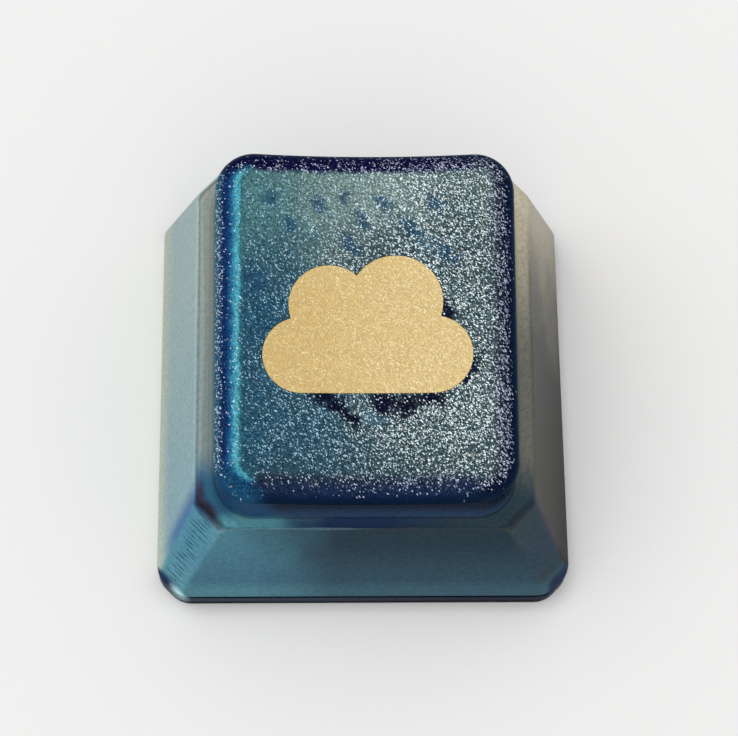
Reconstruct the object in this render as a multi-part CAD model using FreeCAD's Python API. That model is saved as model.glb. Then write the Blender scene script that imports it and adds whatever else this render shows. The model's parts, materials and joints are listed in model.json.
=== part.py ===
"""Machined metal keycap with a tilted, dished top and a cloud-shaped inlay set flush in it.

Millimetres. +Z is up, the origin is the middle of the rim it rests on, and -Y faces the typist.
"""

import FreeCAD
import Part
import math
import os

# Skirt: an upright rim, then four sloping walls with bevelled corners
BASE_WIDTH = 18.1
BASE_DEPTH = 18.3
RIM_HEIGHT = 1.3
SIDE_SLOPE_INSET = 1.8
FRONT_SLOPE_INSET = 2.1
BACK_SLOPE_INSET = 0.4
RIM_BEVEL = 1.0
LEDGE_BEVEL = 1.2
BEVEL_SOFTENING = 0.5
RIM_FRONT_SOFTENING = 1.2
RIM_EDGE_BREAK = 0.12

# Pad: the raised block that stands on a ledge, which runs parallel to the tilted top
SIDE_LEDGE = 0.85
PAD_WIDTH = BASE_WIDTH - 2 * (SIDE_SLOPE_INSET + SIDE_LEDGE)
FRONT_LEDGE = 0.38
BACK_LEDGE = 0.42
PAD_RISE = 3.7
PAD_CORNER_RADIUS = 1.7
FRONT_HEIGHT = 8.5
BACK_HEIGHT = 10.65
DISH_DEPTH = 0.55
TOP_EDGE_RADIUS = 1.1
LEDGE_FILLET = 0.32

# Hollow underside
SKIRT_WALL = 1.3
PAD_WALL = 1.3
ROOF_THICKNESS = 1.5
LEDGE_THICKNESS = 1.2
HOLLOW_CORNER_RADIUS = 1.2

# Stem with its cross-shaped socket
STEM_DIAMETER = 5.6
STEM_RECESS = 0.8
SOCKET_LENGTH = 4.1
SOCKET_WIDTH = 1.3
SOCKET_DEPTH = 4.2
SOCKET_LEAD_IN = 0.15

# Cloud inlay: four round lobes on a flat base, placed from the middle of the top
INLAY_DEPTH = 0.6
CLOUD_BASE = -3.23
LEFT_END_X = -2.73
LEFT_END_RADIUS = 1.62
RIGHT_END_X = 2.81
RIGHT_END_RADIUS = 1.66
LEFT_CROWN_X = -1.53
LEFT_CROWN_Y = 0.54
LEFT_CROWN_RADIUS = 1.73
RIGHT_CROWN_X = 1.26
RIGHT_CROWN_Y = 0.71
RIGHT_CROWN_RADIUS = 1.99

# Largest distance from a plane at which a point still counts as lying on it
FLATNESS = 1e-4

# Sizes that follow from the ones above
half_width = BASE_WIDTH / 2
half_depth = BASE_DEPTH / 2
ledge_half_width = half_width - SIDE_SLOPE_INSET
ledge_front = -half_depth + FRONT_SLOPE_INSET
ledge_back = half_depth - BACK_SLOPE_INSET
pad_half_width = PAD_WIDTH / 2
pad_front = ledge_front + FRONT_LEDGE
pad_back = ledge_back - BACK_LEDGE
top_tilt = math.atan2(BACK_HEIGHT - FRONT_HEIGHT, pad_back - pad_front)
top_middle = FreeCAD.Vector(0, (pad_front + pad_back) / 2, (FRONT_HEIGHT + BACK_HEIGHT) / 2)
ledge_middle = top_middle - FreeCAD.Vector(0, 0, PAD_RISE)
tilt_rotation = FreeCAD.Rotation(FreeCAD.Vector(1, 0, 0), math.degrees(top_tilt))
dish_radius = (pad_half_width ** 2 + DISH_DEPTH ** 2) / (2 * DISH_DEPTH)
reach = 4 * max(BASE_WIDTH, BASE_DEPTH, BACK_HEIGHT)


def rounded_outline(corners, radii, height):
    """Closed wire at one height: straight sides, and a tangent arc at each corner."""
    points = [FreeCAD.Vector(x, y, height) for x, y in corners]
    arcs = []
    for index, (corner, radius) in enumerate(zip(points, radii)):
        to_last = (points[index - 1] - corner).normalize()
        to_next = (points[(index + 1) % len(points)] - corner).normalize()
        inward = (to_last + to_next).normalize()
        half_angle = to_last.getAngle(to_next) / 2
        setback = radius / math.tan(half_angle)
        middle = corner + inward * (radius / math.sin(half_angle) - radius)
        arcs.append(Part.Arc(corner + to_last * setback, middle, corner + to_next * setback).toShape())
    edges = []
    for index, arc in enumerate(arcs):
        following = arcs[(index + 1) % len(arcs)]
        edges.append(arc)
        edges.append(Part.makeLine(arc.Vertexes[-1].Point, following.Vertexes[0].Point))
    return Part.Wire(edges)


def rectangle_corners(half_x, front, back):
    """Corners of a rectangle, counter-clockwise from the front left."""
    return [(-half_x, front), (half_x, front), (half_x, back), (-half_x, back)]


def bevelled_corners(half_x, front, back, bevel):
    """Corners of a rectangle whose four corners are cut off at 45 degrees, the front ones first."""
    return [
        (-half_x, front + bevel),
        (-half_x + bevel, front),
        (half_x - bevel, front),
        (half_x, front + bevel),
        (half_x, back - bevel),
        (half_x - bevel, back),
        (-half_x + bevel, back),
        (-half_x, back - bevel),
    ]


def prism(outline, rise):
    """Solid that stands on an outline."""
    return Part.Face(outline).extrude(FreeCAD.Vector(0, 0, rise))


def tilted(shape, middle):
    """Move a shape from the flat drawing plane to a point, tilted like the top."""
    placed = shape.copy()
    placed.Placement = FreeCAD.Placement(middle, tilt_rotation).multiply(shape.Placement)
    return placed


def along_tilt(distance):
    """Length along the tilted planes that covers a level distance from front to back."""
    return distance / math.cos(top_tilt)


def space_above(middle, drop):
    """Block that fills everything over a tilted plane, which lies a drop below a point."""
    block = Part.makeBox(reach, reach, reach, FreeCAD.Vector(-reach / 2, -reach / 2, -drop))
    return tilted(block, middle)


def dish_cylinder(depth):
    """Long cylinder that lies along the top, and reaches a given depth below the dish."""
    axis_start = FreeCAD.Vector(0, -reach / 2, dish_radius - DISH_DEPTH)
    cylinder = Part.makeCylinder(dish_radius + depth, reach, axis_start, FreeCAD.Vector(0, 1, 0))
    return tilted(cylinder, top_middle)


def lies_on(piece, point, normal):
    """Whether every corner of an edge or face lies on a plane."""
    return all(abs((vertex.Point - point).dot(normal)) < FLATNESS for vertex in piece.Vertexes)


def make_skirt():
    """Upright rim, and walls that slope from it to the tilted ledge."""
    up = FreeCAD.Vector(0, 0, 1)
    rim_corners = bevelled_corners(half_width, -half_depth, half_depth, RIM_BEVEL)
    rim_radii = 4 * [RIM_FRONT_SOFTENING] + 4 * [BEVEL_SOFTENING]
    rim = prism(rounded_outline(rim_corners, rim_radii, 0), RIM_HEIGHT)
    foot_edges = [edge for edge in rim.Edges if lies_on(edge, FreeCAD.Vector(), up)]
    rim = rim.makeFillet(RIM_EDGE_BREAK, foot_edges)
    rim_top = rounded_outline(rim_corners, rim_radii, RIM_HEIGHT)
    ledge_corners = bevelled_corners(
        ledge_half_width,
        along_tilt(ledge_front - ledge_middle.y),
        along_tilt(ledge_back - ledge_middle.y),
        LEDGE_BEVEL,
    )
    ledge = tilted(rounded_outline(ledge_corners, 8 * [BEVEL_SOFTENING], 0), ledge_middle)
    return rim.fuse(Part.makeLoft([rim_top, ledge], True, True))


def make_pad():
    """Raised pad with its dish cut and its top edge rounded."""
    outline = rounded_outline(
        rectangle_corners(pad_half_width, pad_front, pad_back), 4 * [PAD_CORNER_RADIUS], RIM_HEIGHT
    )
    pad = prism(outline, BACK_HEIGHT).cut(dish_cylinder(0))
    top_edges = [edge for edge in pad.Edges if edge.BoundBox.ZMin > FRONT_HEIGHT - PAD_RISE]
    return pad.makeFillet(TOP_EDGE_RADIUS, top_edges)


def make_outer_solid():
    """Skirt and pad joined, with the hollow blend where the pad stands on the ledge."""
    joined = make_skirt().fuse(make_pad()).removeSplitter()
    normal = tilt_rotation.multVec(FreeCAD.Vector(0, 0, 1))
    ledge = next(face for face in joined.Faces if lies_on(face, ledge_middle, normal))
    pad_foot = [edge for wire in ledge.Wires if not wire.isSame(ledge.OuterWire) for edge in wire.Edges]
    return joined.makeFillet(LEDGE_FILLET, pad_foot)


def make_hollow():
    """Space inside the keycap, wide in the skirt and narrower in the pad."""
    mouth_corners = rectangle_corners(
        half_width - SKIRT_WALL, -half_depth + SKIRT_WALL, half_depth - SKIRT_WALL
    )
    hollow_radii = 4 * [HOLLOW_CORNER_RADIUS]
    mouth = prism(rounded_outline(mouth_corners, hollow_radii, 0), RIM_HEIGHT)
    mouth_top = rounded_outline(mouth_corners, hollow_radii, RIM_HEIGHT)
    shoulder_corners = rectangle_corners(
        ledge_half_width - SKIRT_WALL,
        along_tilt(ledge_front + SKIRT_WALL - ledge_middle.y),
        along_tilt(ledge_back - SKIRT_WALL - ledge_middle.y),
    )
    shoulder = tilted(rounded_outline(shoulder_corners, hollow_radii, 0), ledge_middle)
    slope = Part.makeLoft([mouth_top, shoulder], True, True).cut(space_above(ledge_middle, LEDGE_THICKNESS))
    throat = rounded_outline(
        rectangle_corners(pad_half_width - PAD_WALL, pad_front + PAD_WALL, pad_back - PAD_WALL),
        hollow_radii,
        RIM_HEIGHT,
    )
    upper = prism(throat, BACK_HEIGHT).cut(space_above(top_middle, DISH_DEPTH + ROOF_THICKNESS))
    return mouth.multiFuse([slope, upper]).removeSplitter()


def make_stem():
    """Round stem that reaches up into the roof."""
    height = top_middle.z - DISH_DEPTH - ROOF_THICKNESS / 2 - STEM_RECESS
    return Part.makeCylinder(STEM_DIAMETER / 2, height, FreeCAD.Vector(0, 0, STEM_RECESS))


def rectangle_wire(size_x, size_y, height):
    """Rectangle about the stem's axis, at one height."""
    corners = rectangle_corners(size_x / 2, -size_y / 2, size_y / 2)
    points = [FreeCAD.Vector(x, y, height) for x, y in corners]
    return Part.makePolygon(points + points[:1])


def make_socket():
    """Cross-shaped socket in the end of the stem, with a bevelled mouth."""
    pieces = []
    for size_x, size_y in ((SOCKET_LENGTH, SOCKET_WIDTH), (SOCKET_WIDTH, SOCKET_LENGTH)):
        mouth = rectangle_wire(size_x, size_y, STEM_RECESS)
        wide_mouth = rectangle_wire(size_x + 2 * SOCKET_LEAD_IN, size_y + 2 * SOCKET_LEAD_IN, STEM_RECESS)
        neck = rectangle_wire(size_x, size_y, STEM_RECESS + SOCKET_LEAD_IN)
        pieces.append(prism(mouth, SOCKET_DEPTH))
        pieces.append(Part.makeLoft([wide_mouth, neck], True, True))
    return pieces[0].multiFuse(pieces[1:])


def make_inlay():
    """Cloud of even depth whose upper face is a piece of the dish."""
    lobes = [
        (LEFT_END_X, CLOUD_BASE + LEFT_END_RADIUS, LEFT_END_RADIUS),
        (RIGHT_END_X, CLOUD_BASE + RIGHT_END_RADIUS, RIGHT_END_RADIUS),
        (LEFT_CROWN_X, LEFT_CROWN_Y, LEFT_CROWN_RADIUS),
        (RIGHT_CROWN_X, RIGHT_CROWN_Y, RIGHT_CROWN_RADIUS),
    ]
    height = 2 * (DISH_DEPTH + INLAY_DEPTH)
    columns = [Part.makeCylinder(radius, height, FreeCAD.Vector(x, y, -height)) for x, y, radius in lobes]
    fill_depth = min(LEFT_CROWN_Y, RIGHT_CROWN_Y) - CLOUD_BASE
    fill = Part.makeBox(
        RIGHT_END_X - LEFT_END_X, fill_depth, height, FreeCAD.Vector(LEFT_END_X, CLOUD_BASE, -height)
    )
    cloud = tilted(fill.multiFuse(columns).removeSplitter(), top_middle)
    return cloud.common(dish_cylinder(INLAY_DEPTH)).cut(dish_cylinder(0))


inlay = make_inlay()
stem = make_stem().cut(make_socket())
shell = make_outer_solid().cut(make_hollow())
body = shell.fuse(stem).removeSplitter().cut(inlay)

os.makedirs("parts", exist_ok=True)
body.Solids[0].exportStep("parts/keycap_body.step")
inlay.Solids[0].exportStep("parts/cloud_inlay.step")
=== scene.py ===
"""Visible model of a machined keycap with a blue film, a blasted top and a cloud inlay.

Metres. +Z is up, the origin is the middle of the rim it rests on, and -Y faces the typist.
"""

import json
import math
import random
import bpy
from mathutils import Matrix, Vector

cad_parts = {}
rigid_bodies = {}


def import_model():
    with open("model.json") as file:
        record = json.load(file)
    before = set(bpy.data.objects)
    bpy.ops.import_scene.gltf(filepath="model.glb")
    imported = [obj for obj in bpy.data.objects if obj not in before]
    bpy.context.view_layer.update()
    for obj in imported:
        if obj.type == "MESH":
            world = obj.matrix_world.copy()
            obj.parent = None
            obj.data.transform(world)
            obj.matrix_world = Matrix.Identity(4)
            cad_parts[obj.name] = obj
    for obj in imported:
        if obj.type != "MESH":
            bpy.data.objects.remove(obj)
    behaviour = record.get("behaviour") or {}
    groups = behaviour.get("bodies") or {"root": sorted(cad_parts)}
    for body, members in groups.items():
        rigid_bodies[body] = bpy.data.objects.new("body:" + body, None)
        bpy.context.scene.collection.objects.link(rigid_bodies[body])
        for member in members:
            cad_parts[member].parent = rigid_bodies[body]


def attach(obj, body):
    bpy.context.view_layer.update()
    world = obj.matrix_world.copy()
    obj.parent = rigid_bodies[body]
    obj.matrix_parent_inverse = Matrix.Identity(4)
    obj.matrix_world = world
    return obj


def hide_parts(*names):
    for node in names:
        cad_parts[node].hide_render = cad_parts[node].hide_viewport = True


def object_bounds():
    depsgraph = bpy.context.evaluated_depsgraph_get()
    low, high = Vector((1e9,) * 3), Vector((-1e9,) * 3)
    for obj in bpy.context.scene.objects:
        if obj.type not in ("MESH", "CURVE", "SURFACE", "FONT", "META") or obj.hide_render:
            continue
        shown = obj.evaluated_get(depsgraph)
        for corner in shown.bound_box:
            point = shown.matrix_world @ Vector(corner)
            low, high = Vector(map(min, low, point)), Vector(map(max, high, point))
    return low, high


bl_info = {
    "name": "Blue Film Keycap",
    "version": (1, 0, 0),
    "blender": (4, 5, 0),
    "location": "View3D > Sidebar > Keycap",
    "description": "Machined keycap with a blue film, a blasted top and a cloud inlay",
    "category": "Add Mesh",
}

import bmesh
import bpy
import numpy as np
from mathutils import Matrix, Vector
from mathutils.geometry import delaunay_2d_cdt

for leftover in list(bpy.data.objects):
    bpy.data.objects.remove(leftover)
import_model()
cad_low, cad_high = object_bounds()

MM = 0.001

# Fineness of the meshes
ARC_STEPS = 6
BEVEL_STEPS = 6
SIDE_STEPS = 40
SOFT_STEPS = 5
SOFT_SHARE = 0.9
FOOT_STEPS = 4
FILLET_STEPS = 8
TOP_EDGE_STEPS = 18
PAD_WALL_STEPS = 4
CIRCLE_STEPS = 96
TOP_SPACING = 0.3 * MM
FLAT_SPACING = 1.2 * MM
EDGE_SPAN = 1.6 * MM
OUTLINE_STEP = 0.09 * MM
LEAST_LOBE_STEPS = 4
MERGE_DISTANCE = 1e-7
SHARP_ANGLE = math.radians(32)
GRID_CLEARANCE = 0.6
LEVEL_RISE = 1e-12

# Blasted grain, with the top's and the fill's number of facets in a millimetre
TOP_GRAIN = 22.0
FILL_GRAIN = 23.0
GRAIN_SLANT = math.radians(-45)
GRAIN_STRETCH = (1.25, 0.8, 1.0)
# Painted highlights: how strongly the glints of bright facets stand out, and their least share
GLINT_GAIN = 2.2
LEAST_DENSITY = 0.002

# Part of a soft noise's range that shifts the borders between tones
DRIFT_SPAN = (0.25, 0.75)

# How far the fine grain of each finish changes its tone and its roughness, and the relief of the grains
FINE_SPAN = (0.3, 0.7)
BLASTED_FINISH = ((0.6, 1.4), (0.36, 0.48))
BRUSHED_FINISH = ((0.86, 1.14), (0.26, 0.34))
PAD_FINISH = ((0.94, 1.06), (0.24, 0.32))
INSIDE_FINISH = ((0.85, 1.1), (0.34, 0.42))
MARK_FINISH = ((0.9, 1.1), (0.26, 0.36))
BLASTED_RELIEF = 0.04 * MM
FILL_RELIEF = 0.03 * MM
SATIN_RELIEF = 0.02 * MM
SATIN_BUMP = 0.04
BRUSH_STRETCH = (1.3, 1.3, 4.0)
CUTTER_ROWS = 40.0

# Cutter marks: the part of the bevel that they take, their uneven spacing, ends and taper
FIRST_MARK = 0.1
MARKED_SHARE = 0.86
MARK_SHIFT = 0.3
MARK_STARTS = (0.0, 0.5)
MARK_ENDS = (0.6, 1.0)
MARK_TIP = 0.15
MARK_SIDES = 8

# Floor and lamp
FLOOR_SIZE = 4.0
LAMP_PLACE = (-0.35, 0.12, 0.62)
LAMP_AIM = (0.0, 0.0, 0.008)
LAMP_SIZE = 0.6
LAMP_TINT = (1.0, 0.98, 0.95)

# Finishes of the body, in the order of its material slots
BLASTED, PAD_SIDE, SKIRT, RIM, INSIDE = range(5)


def length(name, description, millimetres):
    """Length property that is given in millimetres."""
    return bpy.props.FloatProperty(
        name=name, description=description, default=millimetres * MM, unit="LENGTH", precision=5
    )


def angle(name, description, degrees):
    """Angle property that is given in degrees."""
    return bpy.props.FloatProperty(
        name=name, description=description, default=math.radians(degrees), subtype="ANGLE"
    )


def from_srgb(red, green, blue):
    """Linear colour of a tone that is written as a picture shows it, from 0 to 255."""
    linear = []
    for value in (red, green, blue):
        share = value / 255
        linear.append(share / 12.92 if share <= 0.04045 else ((share + 0.055) / 1.055) ** 2.4)
    return (*linear, 1.0)


def colour(name, description, red, green, blue):
    """Colour property that is given as a picture shows it."""
    return bpy.props.FloatVectorProperty(
        name=name,
        description=description,
        subtype="COLOR",
        size=4,
        min=0.0,
        max=1.0,
        default=from_srgb(red, green, blue),
    )


class KeycapSizes(bpy.types.PropertyGroup):
    """Sizes of the metal body."""

    base_width: length("Base width", "Width across the rim", (cad_high.x - cad_low.x) / MM)
    base_depth: length("Base depth", "Depth across the rim, front to back", (cad_high.y - cad_low.y) / MM)
    rim_height: length("Rim height", "Height of the upright rim", 1.3)
    side_slope_inset: length("Side slope inset", "How far the side walls lean in", 1.8)
    front_slope_inset: length("Front slope inset", "How far the front wall leans in", 2.1)
    back_slope_inset: length("Back slope inset", "How far the back wall leans in", 0.4)
    rim_bevel: length("Rim bevel", "Length that each corner bevel takes off a side of the rim", 1.0)
    ledge_bevel: length("Ledge bevel", "Length that each corner bevel takes off a side of the ledge", 1.2)
    bevel_softening: length("Bevel softening", "Radius where a bevel meets a side", 0.5)
    rim_front_softening: length("Rim front softening", "The same radius at the rim's front corners", 1.2)
    rim_edge_break: length("Rim edge break", "Radius of the rim's lower edge", 0.12)
    edge_softening: length("Edge softening", "Reach of the fine rounding at the rim and the stem", 0.1)
    ledge_softening: length("Ledge softening", "Reach of the soft rounding of the ledge's outer edge", 0.38)
    side_ledge: length("Side ledge", "Ledge beside the pad", 0.85)
    front_ledge: length("Front ledge", "Ledge in front of the pad", 0.38)
    back_ledge: length("Back ledge", "Ledge behind the pad", 0.42)
    pad_rise: length("Pad rise", "Height of the pad over the ledge", 3.7)
    pad_corner_radius: length("Pad corner radius", "Radius of the pad's upright corners", 1.7)
    front_height: length("Front height", "Height of the top plane at the pad's front", 8.5)
    back_height: length("Back height", "Height of the top plane at the pad's back", 10.65)
    dish_depth: length("Dish depth", "Depth of the dish in the top", 0.55)
    top_edge_radius: length("Top edge radius", "Radius of the pad's upper edge", 1.1)
    ledge_fillet: length("Ledge fillet", "Radius of the hollow blend at the pad's foot", 0.32)
    skirt_wall: length("Skirt wall", "Thickness of the skirt", 1.3)
    pad_wall: length("Pad wall", "Thickness of the pad's sides", 1.3)
    roof_thickness: length("Roof thickness", "Thickness of the roof under the dish", 1.5)
    ledge_thickness: length("Ledge thickness", "Thickness of the ledge", 1.2)
    hollow_corner_radius: length("Hollow corner radius", "Radius of the hollow's upright corners", 1.2)
    stem_diameter: length("Stem diameter", "Diameter of the stem", 5.6)
    stem_recess: length("Stem recess", "How far the stem ends above the rim", 0.8)
    socket_length: length("Socket length", "Length of each arm of the cross-shaped socket", 4.1)
    socket_width: length("Socket width", "Width of each arm of the cross-shaped socket", 1.3)
    socket_depth: length("Socket depth", "Depth of the socket", 4.2)
    socket_lead_in: length("Socket lead-in", "Bevel at the socket's mouth", 0.15)


class CloudSizes(bpy.types.PropertyGroup):
    """Sizes of the inlay, placed from the middle of the top."""

    depth: length("Depth", "Depth of the inlay", 0.6)
    edge_softening: length("Edge softening", "Reach of the fine rounding where fill and metal meet", 0.035)
    base: length("Base", "Place of the flat base", -3.23)
    left_end_x: length("Left end place", "Middle of the left end lobe", -2.73)
    left_end_radius: length("Left end radius", "Radius of the left end lobe", 1.62)
    right_end_x: length("Right end place", "Middle of the right end lobe", 2.81)
    right_end_radius: length("Right end radius", "Radius of the right end lobe", 1.66)
    left_crown_x: length("Left crown place", "Middle of the left crown lobe, across", -1.53)
    left_crown_y: length("Left crown height", "Middle of the left crown lobe, along the top", 0.54)
    left_crown_radius: length("Left crown radius", "Radius of the left crown lobe", 1.73)
    right_crown_x: length("Right crown place", "Middle of the right crown lobe, across", 1.26)
    right_crown_y: length("Right crown height", "Middle of the right crown lobe, along the top", 0.71)
    right_crown_radius: length("Right crown radius", "Radius of the right crown lobe", 1.99)


class ToolMarkSizes(bpy.types.PropertyGroup):
    """Sizes of the fine cutter marks on the left front bevel."""

    count: bpy.props.IntProperty(name="Count", description="Number of cutter marks", default=20, min=1)
    width: length("Width", "Width of one mark", 0.045)
    seed: bpy.props.IntProperty(name="Seed", description="Seed of the marks' lengths", default=4)


class FilmColours(bpy.types.PropertyGroup):
    """Tones of the film and of the fill, with painted light, shade, highlights and glints."""

    top_left: colour("Top left", "Film at the left of the top", 38, 78, 100)
    top_left_back: colour("Top left back", "Film at the left back of the top", 72, 114, 119)
    top_back: colour("Top back", "Film at the back of the top", 106, 128, 124)
    top_right: colour("Top right", "Film at the right of the top", 48, 68, 75)
    blotch: colour("Blotch", "Darker spots of the film", 34, 71, 100)
    glow: colour("Glow", "Brighter blue spots of the film", 46, 98, 124)
    stain: colour("Stain", "Dark stains below the cloud", 12, 12, 36)
    # Painted highlights: glints of bright facets, cool, warm, bluer at the left and on the edge
    glint: colour("Glint", "Cool bright facets of the blasted grain", 230, 248, 254)
    warm_glint: colour("Warm glint", "Warm bright facets of the blasted grain", 250, 246, 232)
    left_glint: colour("Left glint", "Blue facets of the blasted grain at the left", 172, 222, 244)
    edge_glint: colour("Edge glint", "Bright facets on the rounded upper edge", 212, 224, 244)
    edge_corner: colour("Edge corner", "Blue film at the upper edge's left front corner", 30, 78, 114)
    # Partly painted reflection: the left wall is paled by the lit surroundings it reflects
    left_wall: colour("Left wall", "Film on the left wall", 152, 186, 195)
    left_wall_back: colour("Left wall back", "Film at the back of the left wall", 174, 198, 196)
    left_wall_low_reflection: colour("Left wall low", "Film low on the left wall", 206, 216, 196)
    left_ledge: colour("Left ledge", "Film on the left ledge", 105, 118, 118)
    left_ledge_back: colour("Left ledge back", "Film at the back of the left ledge", 114, 121, 117)
    ledge_corner: colour("Ledge corner", "Dark film at the ledge's left front corner", 44, 40, 56)
    foot_corner: colour("Foot corner", "Blue film at the pad's left front foot", 42, 84, 110)
    # Partly painted shade: the right wall goes from beige reflection at the back to dark olive shade
    right_wall: colour("Right wall", "Film high on the right wall", 92, 94, 84)
    right_wall_shade: colour("Right wall low", "Film low on the right wall", 50, 49, 43)
    right_wall_back: colour("Right wall back", "Film at the back of the right wall", 196, 188, 164)
    right_ledge: colour("Right ledge", "Film on the right ledge", 106, 107, 100)
    # Partly painted reflection: the front wall is lighter teal at the left and darker at the right
    front_wall_left: colour("Front wall left", "Film at the left of the front wall", 80, 128, 145)
    front_wall: colour("Front wall", "Film on the front wall", 47, 63, 74)
    front_low_left: colour("Front low left", "Film low on the front wall, left", 72, 113, 133)
    front_low: colour("Front low", "Film low on the front wall, right", 58, 84, 97)
    front_strip_left: colour("Front strip left", "Film just above the front rim, left", 83, 130, 143)
    front_strip: colour("Front strip", "Film just above the front rim, right", 68, 99, 114)
    left_bevel: colour("Left bevel", "Film on the left front bevel", 90, 150, 167)
    right_bevel: colour("Right bevel", "Film on the right front bevel", 56, 72, 80)
    right_bevel_dark: colour("Right bevel dark", "Bluer film half-way up the right front bevel", 54, 72, 86)
    bevel_seam: colour("Bevel seam", "Blue film beside the left front bevel", 86, 126, 172)
    right_seam: colour("Right seam", "Violet film beside the right front bevel", 78, 74, 94)
    front_ledge_left: colour("Front ledge left", "Film at the left of the front ledge", 76, 132, 144)
    front_ledge: colour("Front ledge", "Film at the middle of the front ledge", 32, 48, 78)
    front_ledge_right: colour("Front ledge right", "Film at the right of the front ledge", 48, 64, 74)
    pad_side: colour("Pad side", "Film high on the pad's side", 3, 14, 40)
    pad_foot: colour("Pad foot", "Film low on the pad's side", 60, 88, 122)
    pad_side_left: colour("Pad side left", "Film at the left of the pad's side", 38, 80, 120)
    pad_side_right: colour("Pad side right", "Film at the right of the pad's side", 34, 60, 86)
    rim: colour("Rim", "Film at the right of the upright rim", 88, 90, 102)
    rim_left: colour("Rim left", "Film at the left of the upright rim", 106, 118, 132)
    # Painted shade: dark lines at the rim's lower and upper edges
    rim_shade_line: colour("Rim line", "Dark lines along the rim", 10, 13, 22)
    rim_corner: colour("Rim corner", "Navy film at the rim's left front corner", 36, 54, 88)
    rim_corner_right: colour("Rim corner right", "Navy film at the rim's right front corner", 44, 56, 82)
    rim_corner_low: colour("Rim corner low", "Grey film at the foot of the left front corner", 84, 84, 88)
    # Painted highlight: the bright cyan end of the rim's left front bevel
    rim_highlight: colour("Rim glow", "Bright end of the rim's left front bevel", 212, 255, 255)
    # Partly painted shade: the cutter marks are darker so that the fine ridges show
    tool_mark: colour("Tool mark", "Film in the cutter marks", 50, 98, 116)
    fill: colour("Fill", "Cream fill at the left of the cloud", 210, 180, 116)
    fill_right: colour("Fill right", "Cream fill at the right of the cloud", 218, 190, 128)
    # Painted highlights: glints of bright grains in the fill
    fill_glint: colour("Fill grain", "Bright grains in the fill", 255, 246, 206)


class StageSettings(bpy.types.PropertyGroup):
    """Camera, floor and light."""

    azimuth: angle("Azimuth", "Camera's turn about the keycap", -5.16)
    elevation: angle("Elevation", "Camera's height over the horizon", 70.0)
    roll: angle("Roll", "Camera's turn about its own axis", 4.8)
    distance: length("Distance", "Camera's distance from its target", 100.01)
    target_x: length("Target across", "Point on the floor that the camera looks at, across", 0.39)
    target_y: length("Target along", "Point on the floor that the camera looks at, along", 1.94)
    lens: bpy.props.FloatProperty(name="Lens", description="Focal length in millimetres", default=105.96)
    backdrop: colour("Backdrop", "Pale floor and surroundings", 241, 241, 241)
    surroundings: bpy.props.FloatProperty(
        name="Surroundings", description="Strength of the light from all round", default=0.96
    )
    key_power: bpy.props.FloatProperty(
        name="Key power", description="Power of the large soft lamp at the left", default=1.3, unit="POWER"
    )


def bevelled_corners(half_x, front, back, bevel):
    """Corners of a rectangle cut off at 45 degrees, counter-clockwise from the left front."""
    return [
        Vector((-half_x, front + bevel)),
        Vector((-half_x + bevel, front)),
        Vector((half_x - bevel, front)),
        Vector((half_x, front + bevel)),
        Vector((half_x, back - bevel)),
        Vector((half_x - bevel, back)),
        Vector((-half_x + bevel, back)),
        Vector((-half_x, back - bevel)),
    ]


def rectangle_corners(half_x, front, back):
    """Corners of a rectangle, counter-clockwise from the left front."""
    return [Vector(corner) for corner in ((-half_x, front), (half_x, front), (half_x, back), (-half_x, back))]


def rounded_outline(corners, radii, arc_steps, side_steps):
    """Points of a closed outline and their outward directions: each corner's arc, then the side that follows.

    Outlines with matching steps pair up point by point.
    """
    arcs = []
    count = len(corners)
    for index, (corner, radius) in enumerate(zip(corners, radii)):
        to_last = (corners[index - 1] - corner).normalized()
        to_next = (corners[(index + 1) % count] - corner).normalized()
        half_angle = to_last.angle(to_next) / 2
        centre = corner + (to_last + to_next).normalized() * (radius / math.sin(half_angle))
        start = math.atan2(to_last.x, -to_last.y)
        sweep = math.pi - 2 * half_angle
        turns = [start + sweep * step / arc_steps for step in range(arc_steps + 1)]
        outward = [Vector((math.cos(turn), math.sin(turn))) for turn in turns]
        arcs.append(([centre + way * radius for way in outward], outward))
    points = []
    directions = []
    for index, (arc, outward) in enumerate(arcs):
        following = arcs[(index + 1) % count][0][0]
        steps = side_steps[index % len(side_steps)]
        points.extend(arc)
        directions.extend(outward)
        for step in range(1, steps):
            points.append(arc[-1].lerp(following, step / steps))
            directions.append(outward[-1])
    return points, directions


def skirt_outline(half_x, front, back, bevel, radii):
    """Outline with bevelled corners."""
    corners = bevelled_corners(half_x, front, back, bevel)
    return rounded_outline(corners, radii, ARC_STEPS, (BEVEL_STEPS, SIDE_STEPS))


def block_outline(half_x, front, back, radius):
    """Outline with round corners, which pairs up with a bevelled one."""
    corners = rectangle_corners(half_x, front, back)
    return rounded_outline(corners, 4 * [radius], 2 * ARC_STEPS + BEVEL_STEPS, (SIDE_STEPS,))


def at_height(points, height):
    """Ring of flat points at one height."""
    return [Vector((point.x, point.y, height)) for point in points]


def swing(first, second, share):
    """Unit direction part of the way from one direction to another."""
    sweep = first.angle(second)
    return (first * math.sin((1 - share) * sweep) + second * math.sin(share * sweep)) / math.sin(sweep)


def soft_corner(before, corner, after, share):
    """Point on the small curve that takes off a corner."""
    return before.lerp(corner, share).lerp(corner.lerp(after, share), share)


def soft_edge_rings(before, edge, after, reach):
    """Rings that round an edge, as far as the ring that follows leaves room."""
    rings = []
    for step in range(SOFT_STEPS + 1):
        ring = []
        for last, corner, following in zip(before, edge, after):
            fitted = min(reach, (following - corner).length * SOFT_SHARE)
            start = corner + (last - corner).normalized() * fitted
            end = corner + (following - corner).normalized() * fitted
            ring.append(soft_corner(start, corner, end, step / SOFT_STEPS))
        rings.append(ring)
    return rings


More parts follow.
